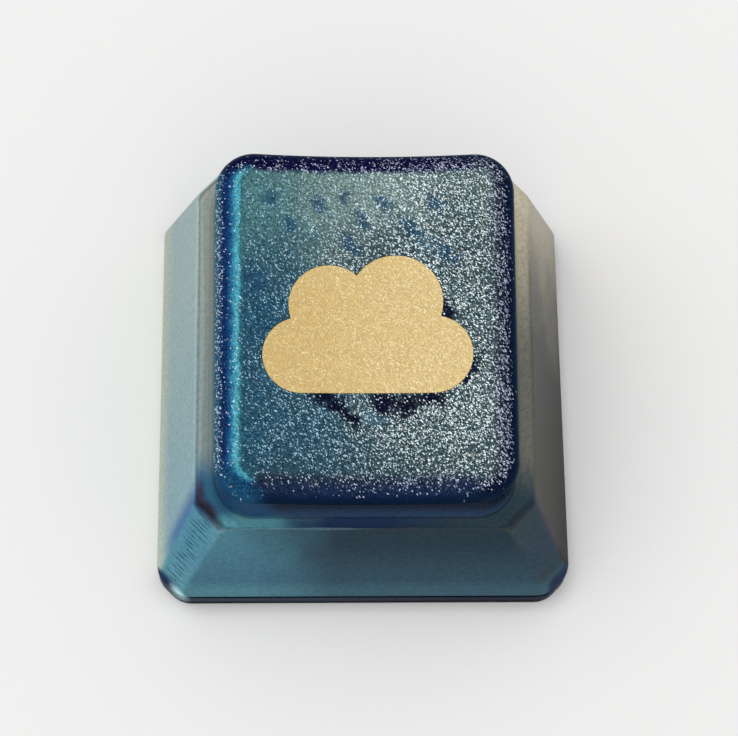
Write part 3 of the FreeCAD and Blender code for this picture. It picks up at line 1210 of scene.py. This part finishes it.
def grain_density(tree, across, y, turn, left, right):
    """Share of facets with painted glints: most at the right, fading over the edge, and a band along the left
    edge.
    """
    from_lively = calculate(tree, "ABSOLUTE", calculate(tree, "ADD", y, 3.0))
    lively = ease(tree, from_lively, 2.4, 0.6, 1.0, 1.25)
    calmer = ease(tree, y, -6.2, -4.2, 0.75, 1.0)
    field = product(tree, ease(tree, across, *GRAIN_SPAN, 0.08, 0.23), lively, calmer)
    fade = ease(tree, turn, mix_value(tree, right, 0.74, 0.63), mix_value(tree, right, 0.0, 0.34))
    inner = product(tree, field, fade)
    calm = product(tree, inner, ease(tree, turn, -0.15, 0.05, 1.0, 0.4))
    band = product(tree, ease(tree, turn, 0.42, 0.6), ease(tree, turn, 0.9, 0.78, 0.0, 0.2))
    return mix_value(tree, left, inner, calculate(tree, "MAXIMUM", calm, band))


def dish_film(tree, colours, across, along):
    """Film of the dish: teal at the left, paler at the back, darker at the right."""
    left = mix(tree, ease(tree, along, 0.5, 6.0), colours.top_left, colours.top_left_back)
    field = mix(tree, ease(tree, across, -5.5, 1.0), left, colours.top_right)
    middle = product(tree, ease(tree, across, -6.0, -1.5), ease(tree, across, 4.5, 0.5, 0.25, 1.0))
    back = product(tree, ease(tree, along, 2.0, 7.5), middle)
    return mix(tree, back, field, colours.top_back)


def add_glints(tree, colours, toned, facets, across, cover):
    """Film with the painted glints of its bright facets, bluer at the left and on the edge."""
    glint = mix(tree, ease(tree, facets["Tone"], 0.5, 1.0), colours.glint, colours.warm_glint)
    rightward = ease(tree, across, *GRAIN_SPAN)
    glint = mix(tree, rightward, colours.left_glint, glint)
    glint = mix(tree, cover, glint, colours.edge_glint)
    strength = mix_value(tree, cover, ease(tree, rightward, 0.0, 1.0, 0.8, 1.0), 0.9)
    return mix(tree, product(tree, facets["Glint"], strength), toned, glint)


def blasted_material(colours, form, grain, spot):
    """Blasted film of the top: teal field, dark edge with painted reflection and highlight, stains and
    painted glints.
    """
    material, tree, shader = new_material("Blasted Blue Film")
    position, _ = object_position(tree)
    x, y, _ = split(tree, position)
    turn = add_node(tree, "ShaderNodeAttribute", attribute_name="edge_turn").outputs["Fac"]
    across = wander(tree, x, position, 0.35, 1.2)
    along = wander(tree, y, position, 0.28, 1.6)
    spotted = ragged_position(tree, position, 2.6, 0.9)
    blotches = spots_mask(tree, spot, spotted, BLOTCHES, form, BLOTCH_CORE, BLOTCH_STRENGTH)
    glows = spots_mask(tree, spot, spotted, GLOWS, form, GLOW_CORE, GLOW_STRENGTH)
    stains = spots_mask(tree, spot, spotted, STAINS, form, STAIN_CORE, STAIN_STRENGTH)
    field = mix(tree, blotches, dish_film(tree, colours, across, along), colours.blotch)
    field = mix(tree, glows, field, colours.glow)
    left = product(tree, ease(tree, x, -4.4, -5.1), ease(tree, y, 7.6, 6.8))
    front = ease(tree, y, -4.2, -5.2)
    right = ease(tree, x, 4.3, 5.1)
    corner = product(tree, ease(tree, x, -3.9, -5.2), ease(tree, y, -4.9, -5.9))
    uneven = wander(tree, turn, position, 2.5, 0.03)
    # Painted highlight and painted dark reflection on the rounded upper edge
    tone, cover = edge_film(tree, uneven, left, right, front)
    outer_corner = product(tree, corner, ease(tree, turn, 0.2, 0.45))
    tone = mix(tree, outer_corner, tone, colours.edge_corner)
    tinted = mix(tree, stains, mix(tree, cover, field, tone), colours.stain)
    covered = calculate(tree, "MAXIMUM", stains, product(tree, blotches, 0.7))
    covered = calculate(tree, "MAXIMUM", covered, corner)
    bare = ease(tree, covered, 0.0, 1.0, 1.0, 0.2)
    density = product(tree, grain_density(tree, across, y, turn, left, right), bare)
    facets = place_group(tree, grain, {"Position": position, "Scale": TOP_GRAIN, "Density": density})
    smooth = ease(tree, turn, 0.5, 0.75)
    toned = finish_film(tree, shader, tinted, facets["Tone"], BLASTED_FINISH)
    toned = mix(tree, smooth, toned, tinted)
    # Painted highlights: the glints of bright facets are mixed into the base colour
    tree.links.new(add_glints(tree, colours, toned, facets, across, cover), shader.inputs["Base Color"])
    shader.inputs["Specular Tint"].default_value = EDGE_TINT
    add_bump(tree, shader, facets["Height"], ease(tree, smooth, 0.0, 1.0, 0.3, 0.02), BLASTED_RELIEF)
    return material


def front_film(tree, colours, x, z):
    """Film on the front wall, partly painted reflection: teal at the left, dark at the right, paler down
    towards the rim.
    """
    rightward = ease(tree, x, -5.6, -1.4)
    high = mix(tree, rightward, colours.front_wall_left, colours.front_wall)
    low = mix(tree, rightward, colours.front_low_left, colours.front_low)
    strip = mix(tree, rightward, colours.front_strip_left, colours.front_strip)
    tone = mix(tree, ease(tree, z, 4.3, 2.0), high, low)
    tone = mix(tree, ease(tree, z, 2.2, 1.6), tone, strip)
    # Painted shade: the front wall darkens towards the right
    return scaled(tree, tone, ease_straight(tree, x, -2.0, 8.0, 1.02, 0.92))


def side_film(tree, colours, form, x, y):
    """Film on the side walls, partly painted light and shade: pale reflection at the left, beige to dark
    olive shade at the right.
    """
    inner = form.ledge_half_width / MM
    down = ease_straight(tree, calculate(tree, "ABSOLUTE", x), inner, form.half_width / MM)
    # Painted light and shade: pale at the left, dark olive at the right
    left = mix(tree, ease(tree, y, -7.0, 6.0), colours.left_wall, colours.left_wall_back)
    left = mix(tree, ease(tree, down, 0.65, 1.05), left, colours.left_wall_low_reflection)
    right = mix(tree, down, colours.right_wall, colours.right_wall_shade)
    right = mix(tree, ease(tree, y, 0.5, 8.5), right, colours.right_wall_back)
    return mix(tree, ease(tree, x, -1.0, 1.0), left, right)


def ledge_film(tree, colours, position):
    """Film on the ledge, which changes round the pad."""
    x, y, _ = split(tree, position)
    across = wander(tree, x, position, 0.4, 0.7)
    left = mix(tree, ease(tree, y, -3.0, 6.0), colours.left_ledge, colours.left_ledge_back)
    right = mix(tree, ease(tree, y, -0.5, 8.5), colours.right_ledge, colours.right_wall_back)
    rightward = ease(tree, x, -2.0, 2.0)
    side = mix(tree, rightward, left, right)
    corner = product(tree, ease(tree, x, -5.0, -5.8), ease(tree, y, -3.4, -5.2))
    side = mix(tree, corner, side, colours.foot_corner)
    front = mix(tree, ease(tree, across, -4.6, -1.8), colours.front_ledge_left, colours.front_ledge)
    front = mix(tree, ease(tree, across, 0.5, 4.5), front, colours.front_ledge_right)
    start = mix_value(tree, rightward, -6.2, -3.6)
    end = mix_value(tree, rightward, -6.8, -6.0)
    return mix(tree, ease(tree, y, start, end), side, front)


def bevel_gap(tree, form, y, z):
    """Distance in millimetres behind the front bevels' outer edge, which rises from the rim to the ledge."""
    front, _ = form.tilted_span(0.0)
    corner = Vector((form.ledge_half_width, front + form.sizes.ledge_bevel))
    high = form.tilted([corner], form.ledge_middle)[0]
    low_y = -form.half_depth + form.sizes.rim_bevel
    slope = (high.y - low_y) / (high.z - form.sizes.rim_height)
    line = {0: z, 1: slope, 2: (low_y - slope * form.sizes.rim_height) / MM}
    edge = add_node(tree, "ShaderNodeMath", line, operation="MULTIPLY_ADD").outputs[0]
    return calculate(tree, "SUBTRACT", y, edge)


def crescent_mask(tree, form, x, y):
    """Narrow dark crescent along the ledge's outer edge at the left front corner."""
    front = form.ledge_front / MM
    half = form.ledge_half_width / MM
    bevel = form.sizes.ledge_bevel / MM
    from_side = calculate(tree, "ADD", x, half)
    from_bevel = calculate(tree, "ADD", calculate(tree, "ADD", x, y), half - front - bevel)
    inside = calculate(tree, "MINIMUM", from_side, product(tree, from_bevel, math.sqrt(0.5)))
    return product(
        tree, ease(tree, inside, 0.55, 0.2), ease(tree, y, -4.3, -5.6), ease(tree, x, -5.9, -6.6)
    )


def rim_film(tree, colours, position, facing):
    """Film on the upright rim: a band between dark lines of painted shade, with a dark spot and a painted
    highlight at the left front.
    """
    x, y, z = split(tree, position)
    face_x, _, _ = split(tree, facing)
    rim = mix(tree, ease(tree, x, -6.0, 6.0), colours.rim_left, colours.rim)
    # Painted shade: dark lines along the rim's lower and upper edges
    low_line = ease(tree, z, 0.55, 0.35)
    high_line = ease(tree, z, 0.95, 1.2)
    rim = mix(tree, low_line, rim, colours.rim_shade_line)
    rim = mix(tree, high_line, rim, colours.rim_shade_line)
    left_side = ease(tree, face_x, -0.8, -0.97)
    rim = mix(tree, left_side, rim, colours.left_wall_low_reflection)
    left_corner = product(tree, ease(tree, x, -7.9, -8.3), ease(tree, y, -7.5, -8.0))
    corner_tone = mix(tree, ease(tree, z, 0.6, 0.25), colours.rim_corner, colours.rim_corner_low)
    rim = mix(tree, left_corner, rim, corner_tone)
    right_corner = product(tree, ease(tree, x, 7.7, 8.2), ease(tree, y, -7.6, -8.2))
    rim = mix(tree, right_corner, rim, colours.rim_corner_right)
    # Painted highlight at the rim's left front corner
    glow = product(
        tree,
        ease(tree, x, -8.75, -8.1),
        ease(tree, x, -7.5, -8.0, 0.0, 0.8),
        ease(tree, y, -8.2, -8.5),
        ease(tree, z, 0.1, 0.7),
    )
    return mix(tree, glow, rim, colours.rim_highlight)


def finish_brushed(tree, shader, position, tint):
    """Metal of a tint, with a fine grain along the walls."""
    brushed = add_node(tree, "ShaderNodeMapping", {"Vector": position, "Scale": BRUSH_STRETCH}).outputs[0]
    fine = noise(tree, brushed, 4.0, 3.0, 0.6)
    finish_film(tree, shader, tint, fine, BRUSHED_FINISH)
    add_bump(tree, shader, fine, SATIN_BUMP, SATIN_RELIEF)


def add_seams(tree, colours, form, position, tinted):
    """Side walls' film with its blue and violet seams beside the front bevels."""
    x, y, z = split(tree, position)
    gap = bevel_gap(tree, form, y, z)
    blue = product(tree, ease(tree, gap, 1.25, 0.1), ease(tree, z, 1.5, 3.2), ease(tree, x, -6.0, -7.0))
    violet = ease(tree, gap, 0.7, 0.05, 0.0, 0.8)
    violet = product(tree, violet, ease(tree, z, 2.0, 3.0), ease(tree, x, 6.0, 7.0))
    tinted = mix(tree, blue, tinted, colours.bevel_seam)
    return mix(tree, violet, tinted, colours.right_seam)


def add_bevels(tree, colours, z, facing, tinted):
    """Walls' film with that of the two front bevels."""
    face_x, face_y, _ = split(tree, facing)
    forward = ease(tree, face_y, -0.15, -0.35)
    sideways = product(tree, face_x, face_y)
    left = product(tree, ease(tree, sideways, 0.14, 0.34), forward)
    right = product(tree, ease(tree, sideways, -0.08, -0.36), forward)
    navy = product(tree, ease(tree, z, 1.7, 2.4), ease(tree, z, 4.2, 3.0))
    right_tone = mix(tree, navy, colours.right_bevel, colours.right_bevel_dark)
    right_tone = mix(tree, ease(tree, z, 2.0, 1.6), right_tone, colours.front_strip)
    tinted = mix(tree, left, tinted, colours.left_bevel)
    return mix(tree, right, tinted, right_tone)


def add_corners(tree, colours, x, y, tinted):
    """Skirt's film with dark feet of the front bevels, and a painted highlight on the left one."""
    leftward = calculate(tree, "ADD", x, y)
    rightward = calculate(tree, "SUBTRACT", x, y)
    left = product(tree, ease(tree, leftward, -16.68, -17.0), ease(tree, x, -7.9, -8.35))
    right = product(tree, ease(tree, rightward, 16.55, 16.9), ease(tree, x, 7.9, 8.3))
    # Painted highlight at the foot of the left front bevel
    bright = product(tree, ease(tree, x, -8.6, -8.05), ease(tree, x, -7.5, -7.95))
    bright = product(tree, bright, ease(tree, leftward, -16.8, -17.1, 0.0, 0.8))
    tinted = mix(tree, left, tinted, colours.rim_corner)
    tinted = mix(tree, bright, tinted, colours.rim_highlight)
    return mix(tree, right, tinted, colours.rim_corner_right)


def skirt_material(colours, form):
    """Satin film of the walls and the ledge, whose tone changes with the way a face looks, with painted
    light, shade and highlights.
    """
    material, tree, shader = new_material("Satin Blue Film")
    position, facing = object_position(tree)
    x, y, z = split(tree, position)
    _, face_y, face_z = split(tree, facing)
    across = wander(tree, x, position, 0.25, 0.8)
    along = wander(tree, y, position, 0.3, 1.2)
    tinted = side_film(tree, colours, form, x, along)
    tinted = add_seams(tree, colours, form, position, tinted)
    front = ease(tree, calculate(tree, "ABSOLUTE", face_y), 0.55, 0.8)
    tinted = mix(tree, front, tinted, front_film(tree, colours, across, z))
    tinted = add_bevels(tree, colours, z, facing, tinted)
    ledge = ledge_film(tree, colours, position)
    ledge = mix(tree, crescent_mask(tree, form, x, y), ledge, colours.ledge_corner)
    tinted = mix(tree, ease(tree, face_z, 0.6, 0.93), tinted, ledge)
    # Painted shade: the front ledge's rounded edge is darkened
    lip_shade = product(tree, ease(tree, face_z, 0.64, 0.78), ease(tree, face_y, -0.12, -0.45))
    tinted = scaled(tree, tinted, ease(tree, lip_shade, 0.0, 1.0, 1.0, 0.66))
    tinted = add_corners(tree, colours, x, y, tinted)
    finish_brushed(tree, shader, position, tinted)
    shader.inputs["Specular Tint"].default_value = WALL_TINT
    return material


def rim_material(colours):
    """Satin film of the upright rim."""
    material, tree, shader = new_material("Rim Film")
    position, facing = object_position(tree)
    finish_brushed(tree, shader, position, rim_film(tree, colours, position, facing))
    shader.inputs["Specular Tint"].default_value = RIM_TINT
    return material


def pad_side_material(colours, form):
    """Smooth blue film of the pad's side, paler towards its foot, and of the blend there."""
    material, tree, shader = new_material("Dark Blue Film")
    position, _ = object_position(tree)
    x, y, _ = split(tree, position)
    rise = height_over_ledge(tree, form, position)
    across = wander(tree, x, position, 0.4, 0.8)
    tinted = mix(tree, ease(tree, rise, 2.5, 0.2), colours.pad_side, colours.pad_foot)
    tinted = mix(tree, ease(tree, across, -3.2, -5.2), tinted, colours.pad_side_left)
    right = product(tree, ease(tree, x, 4.8, 6.2), ease(tree, y, -6.2, -5.4))
    tinted = mix(tree, right, tinted, colours.pad_side_right)
    tinted = mix(tree, ease(tree, rise, 0.7, 0.12), tinted, ledge_film(tree, colours, position))
    fine = noise(tree, position, 7.0, 3.0, 0.6)
    finish_film(tree, shader, tinted, fine, PAD_FINISH)
    shader.inputs["Metallic"].default_value = 0.4
    shader.inputs["Specular IOR Level"].default_value = 0.15
    shader.inputs["Specular Tint"].default_value = PAD_TINT
    add_bump(tree, shader, fine, SATIN_BUMP, SATIN_RELIEF)
    return material


def inside_material(colours):
    """Film inside the hollow, with the fine lines of the cutter."""
    material, tree, shader = new_material("Inside Blue Film")
    position, _ = object_position(tree)
    _, _, z = split(tree, position)
    fine = noise(tree, position, 5.0, 3.0, 0.6)
    rows = calculate(tree, "SINE", product(tree, z, CUTTER_ROWS))
    height = calculate(tree, "ADD", fine, product(tree, rows, 0.1))
    cloudy = ease(tree, noise(tree, position, 0.3), 0.35, 0.65)
    tinted = mix(tree, cloudy, colours.front_wall_left, colours.blotch)
    finish_film(tree, shader, tinted, height, INSIDE_FINISH)
    add_bump(tree, shader, height, 0.1, SATIN_RELIEF)
    return material


def fill_material(colours, grain):
    """Cream fill with a fine golden grain of tone changes and painted glints."""
    material, tree, shader = new_material("Cream Fill")
    position, _ = object_position(tree)
    x, _, _ = split(tree, position)
    across = wander(tree, x, position, 0.4, 1.0)
    base = mix(tree, ease(tree, across, -4.5, 4.0), colours.fill, colours.fill_right)
    density = ease(tree, across, -4.5, 4.0, 0.06, 0.2)
    facets = place_group(tree, grain, {"Position": position, "Scale": FILL_GRAIN, "Density": density})
    toned = scaled(tree, base, ease(tree, facets["Tone"], 0.0, 1.0, 0.84, 1.14))
    # Painted highlights: glints of bright grains mixed into the fill's colour
    final = mix(tree, product(tree, facets["Glint"], 0.75), toned, colours.fill_glint)
    tree.links.new(final, shader.inputs["Base Color"])
    shader.inputs["Roughness"].default_value = 0.5
    shader.inputs["Specular IOR Level"].default_value = 0.3
    add_bump(tree, shader, facets["Height"], 0.3, FILL_RELIEF)
    return material


def tool_mark_material(colours):
    """Film in the cutter marks, darker as painted shade so that the fine ridges show."""
    material, tree, shader = new_material("Cutter Mark Film")
    position, _ = object_position(tree)
    fine = noise(tree, position, 4.0, 2.0)
    tinted = mix(tree, ease(tree, fine, 0.35, 0.65), colours.tool_mark, colours.front_wall_left)
    finish_film(tree, shader, tinted, fine, MARK_FINISH)
    return material


def tool_mark_tree():
    """Geometry nodes that turn lines on a bevel into fine tapered ridges of uneven length."""
    tree, start, end = new_group(
        "Cutter Marks",
        [
            ("Lines", "NodeSocketGeometry"),
            ("Width", "NodeSocketFloat"),
            ("Seed", "NodeSocketInt"),
            ("Material", "NodeSocketMaterial"),
        ],
        [("Geometry", "NodeSocketGeometry")],
        "GeometryNodeTree",
    )
    given = start.outputs
    curves = add_node(tree, "GeometryNodeMeshToCurve", {"Mesh": given["Lines"]})
    later = calculate(tree, "ADD", given["Seed"], 1.0)
    cuts = []
    for seed, (low, high) in ((given["Seed"], MARK_STARTS), (later, MARK_ENDS)):
        spread = {2: low, 3: high, "Seed": seed}
        cuts.append(add_node(tree, "FunctionNodeRandomValue", spread, data_type="FLOAT").outputs[1])
    trim = {"Curve": curves.outputs["Curve"], "Start": cuts[0], "End": cuts[1]}
    trimmed = add_node(tree, "GeometryNodeTrimCurve", trim, mode="FACTOR")
    place = tree.nodes.new("GeometryNodeSplineParameter").outputs["Factor"]
    from_middle = calculate(tree, "ABSOLUTE", calculate(tree, "SUBTRACT", place, 0.5))
    taper = ease(tree, from_middle, 0.5, 0.2, MARK_TIP, 1.0)
    half_width = product(tree, given["Width"], 0.5)
    circle = {"Resolution": MARK_SIDES, "Radius": half_width}
    profile = add_node(tree, "GeometryNodeCurvePrimitiveCircle", circle)
    ridges = add_node(
        tree,
        "GeometryNodeCurveToMesh",
        {
            "Curve": trimmed.outputs["Curve"],
            "Profile Curve": profile.outputs["Curve"],
            "Scale": taper,
            "Fill Caps": True,
        },
    )
    real = add_node(tree, "GeometryNodeRealizeInstances", {"Geometry": ridges.outputs["Mesh"]})
    finish = {"Geometry": real.outputs["Geometry"], "Material": given["Material"]}
    finished = add_node(tree, "GeometryNodeSetMaterial", finish)
    tree.links.new(finished.outputs["Geometry"], end.inputs["Geometry"])
    return tree


class KEYCAP_OT_make_body(bpy.types.Operator):
    """Build the metal body with its film"""

    bl_idname = "keycap.make_body"
    bl_label = "Make Body"

    def execute(self, context):
        scene = context.scene
        form = KeycapForm(scene.keycap_sizes)
        colours = scene.keycap_colours
        grain = grain_group()
        spot = spot_group()
        pile = FacePile()
        foot_ring = add_skirt(pile, form)
        dish_ring = add_pad(pile, form)
        add_dish(pile, form, scene.keycap_cloud, dish_ring)
        add_underside(pile, form, foot_ring)
        materials = [
            blasted_material(colours, form, grain, spot),
            pad_side_material(colours, form),
            skirt_material(colours, form),
            rim_material(colours),
            inside_material(colours),
        ]
        body = pile.make_object("film_body", materials)
        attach(body, "root")
        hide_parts("keycap_body")
        return {"FINISHED"}


class KEYCAP_OT_make_cloud(bpy.types.Operator):
    """Build the cream inlay"""

    bl_idname = "keycap.make_cloud"
    bl_label = "Make Cloud"

    def execute(self, context):
        scene = context.scene
        form = KeycapForm(scene.keycap_sizes)
        cloud = scene.keycap_cloud
        pile = FacePile()
        outline = cloud_loop(cloud, 0.0)
        floor = [form.on_top(point, cloud.depth) for point in outline]
        pile.fill([outline], lambda point: form.on_top(point, cloud.depth), 0, FLAT_SPACING, False)
        edge = list(reversed(cloud_edge_rings(form, cloud, -1)))
        pile.bands([floor] + edge, 0)
        pile.fill([cloud_loop(cloud, -cloud.edge_softening)], form.on_top, 0, TOP_SPACING, True)
        inlay = pile.make_object(
            "cream_cloud", [fill_material(scene.keycap_colours, bpy.data.node_groups["Blasted Grain"])]
        )
        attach(inlay, "root")
        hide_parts("cloud_inlay")
        return {"FINISHED"}


class KEYCAP_OT_make_tool_marks(bpy.types.Operator):
    """Set the cutter marks in the left front bevel"""

    bl_idname = "keycap.make_tool_marks"
    bl_label = "Make Tool Marks"

    def execute(self, context):
        scene = context.scene
        form = KeycapForm(scene.keycap_sizes)
        marks = scene.keycap_tool_marks
        outline, _ = form.rim_outline()
        rim = at_height(outline, form.sizes.rim_height)
        ledge = form.ledge_ring()
        first = ARC_STEPS // 2
        last = 2 * ARC_STEPS + BEVEL_STEPS - first
        draws = random.Random(marks.seed)
        points = []
        edges = []
        for mark in range(marks.count):
            place = (mark + 0.5 + draws.uniform(-MARK_SHIFT, MARK_SHIFT)) / marks.count
            share = FIRST_MARK + MARKED_SHARE * place
            start = len(points)
            points.extend(low.lerp(high, share) for low, high in zip(rim[first:last], ledge[first:last]))
            edges.extend((index, index + 1) for index in range(start, len(points) - 1))
        tree = tool_mark_tree()
        mesh = bpy.data.meshes.new("bevel_tool_marks")
        mesh.from_pydata(points, edges, [])
        made = bpy.data.objects.new("bevel_tool_marks", mesh)
        scene.collection.objects.link(made)
        modifier = made.modifiers.new("Cutter Marks", "NODES")
        modifier.node_group = tree
        values = {
            "Width": marks.width,
            "Seed": marks.seed,
            "Material": tool_mark_material(scene.keycap_colours),
        }
        for item in tree.interface.items_tree:
            if item.in_out == "INPUT" and item.name in values:
                modifier[item.identifier] = values[item.name]
        freeze(made)
        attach(made, "root")
        return {"FINISHED"}


class KEYCAP_OT_make_stage(bpy.types.Operator):
    """Set up the floor, the light and the camera"""

    bl_idname = "keycap.make_stage"
    bl_label = "Make Stage"

    def execute(self, context):
        scene = context.scene
        stage = scene.keycap_stage
        self.make_floor(stage)
        self.make_surroundings(scene, stage)
        self.make_lamp(scene, stage)
        self.make_camera(scene, stage)
        scene.view_settings.view_transform = "Standard"
        return {"FINISHED"}

    def make_floor(self, stage):
        """Pale floor that keeps the soft shadow."""
        bpy.ops.mesh.primitive_plane_add(size=FLOOR_SIZE, location=(0.0, 0.0, 0.0))
        floor = bpy.context.object
        floor.name = "floor"
        material, _, shader = new_material("Pale Floor")
        shader.inputs["Base Color"].default_value = stage.backdrop
        shader.inputs["Roughness"].default_value = 0.9
        shader.inputs["Specular IOR Level"].default_value = 0.0
        floor.data.materials.append(material)

    def make_surroundings(self, scene, stage):
        """Pale world that the camera and the metal see at full strength."""
        world = bpy.data.worlds.new("Pale Surroundings")
        world.use_nodes = True
        tree = world.node_tree
        tree.nodes.clear()
        path = tree.nodes.new("ShaderNodeLightPath").outputs
        seen = calculate(tree, "ADD", path["Is Camera Ray"], path["Is Glossy Ray"])
        seen = calculate(tree, "ADD", seen, path["Is Transmission Ray"], True)
        strength = ease(tree, seen, 0.0, 1.0, stage.surroundings, 1.0)
        background = add_node(tree, "ShaderNodeBackground", {"Color": stage.backdrop, "Strength": strength})
        output = tree.nodes.new("ShaderNodeOutputWorld")
        tree.links.new(background.outputs[0], output.inputs["Surface"])
        scene.world = world

    def make_lamp(self, scene, stage):
        """Large soft lamp at the left."""
        data = bpy.data.lights.new("Key Lamp", "AREA")
        data.size = LAMP_SIZE
        data.energy = stage.key_power
        data.color = LAMP_TINT
        lamp = bpy.data.objects.new("Key Lamp", data)
        lamp.location = LAMP_PLACE
        lamp.rotation_euler = (Vector(LAMP_AIM) - Vector(LAMP_PLACE)).to_track_quat("-Z", "Y").to_euler()
        scene.collection.objects.link(lamp)

    def make_camera(self, scene, stage):
        """Camera at the photograph's viewing angle."""
        azimuth = stage.azimuth
        level = math.cos(stage.elevation)
        back = Vector((math.sin(azimuth) * level, -math.cos(azimuth) * level, math.sin(stage.elevation)))
        right = Vector((math.cos(azimuth), math.sin(azimuth), 0.0))
        up = back.cross(right)
        turned_right = right * math.cos(stage.roll) + up * math.sin(stage.roll)
        turned_up = up * math.cos(stage.roll) - right * math.sin(stage.roll)
        data = bpy.data.cameras.new("Camera")
        data.lens = stage.lens
        data.clip_start = MM
        camera = bpy.data.objects.new("Camera", data)
        turn = Matrix((turned_right, turned_up, back)).transposed()
        target = Vector((stage.target_x, stage.target_y, 0.0))
        camera.matrix_world = Matrix.Translation(target + back * stage.distance) @ turn.to_4x4()
        scene.collection.objects.link(camera)
        scene.camera = camera


class KEYCAP_PT_sidebar(bpy.types.Panel):
    """Keycap's pieces, sizes and colours"""

    bl_idname = "KEYCAP_PT_sidebar"
    bl_label = "Keycap"
    bl_space_type = "VIEW_3D"
    bl_region_type = "UI"
    bl_category = "Keycap"

    def draw(self, context):
        for operator in OPERATORS:
            self.layout.operator(operator.bl_idname)
        for name, group in SETTINGS.items():
            box = self.layout.box()
            box.label(text=group.__doc__)
            for label in group.__annotations__:
                box.prop(getattr(context.scene, name), label)


SETTINGS = {
    "keycap_sizes": KeycapSizes,
    "keycap_cloud": CloudSizes,
    "keycap_tool_marks": ToolMarkSizes,
    "keycap_colours": FilmColours,
    "keycap_stage": StageSettings,
}
OPERATORS = (KEYCAP_OT_make_body, KEYCAP_OT_make_cloud, KEYCAP_OT_make_tool_marks, KEYCAP_OT_make_stage)


def register():
    """Add the settings, operators and panel to Blender."""
    for name, group in SETTINGS.items():
        bpy.utils.register_class(group)
        setattr(bpy.types.Scene, name, bpy.props.PointerProperty(type=group))
    for operator in OPERATORS:
        bpy.utils.register_class(operator)
    bpy.utils.register_class(KEYCAP_PT_sidebar)


def unregister():
    """Take the settings, operators and panel out of Blender."""
    bpy.utils.unregister_class(KEYCAP_PT_sidebar)
    for operator in reversed(OPERATORS):
        bpy.utils.unregister_class(operator)
    for name, group in SETTINGS.items():
        delattr(bpy.types.Scene, name)
        bpy.utils.unregister_class(group)


def main():
    """Build the keycap and its stage."""
    register()
    bpy.ops.keycap.make_body()
    bpy.ops.keycap.make_cloud()
    bpy.ops.keycap.make_tool_marks()
    bpy.ops.keycap.make_stage()


if __name__ == "__main__":
    main()
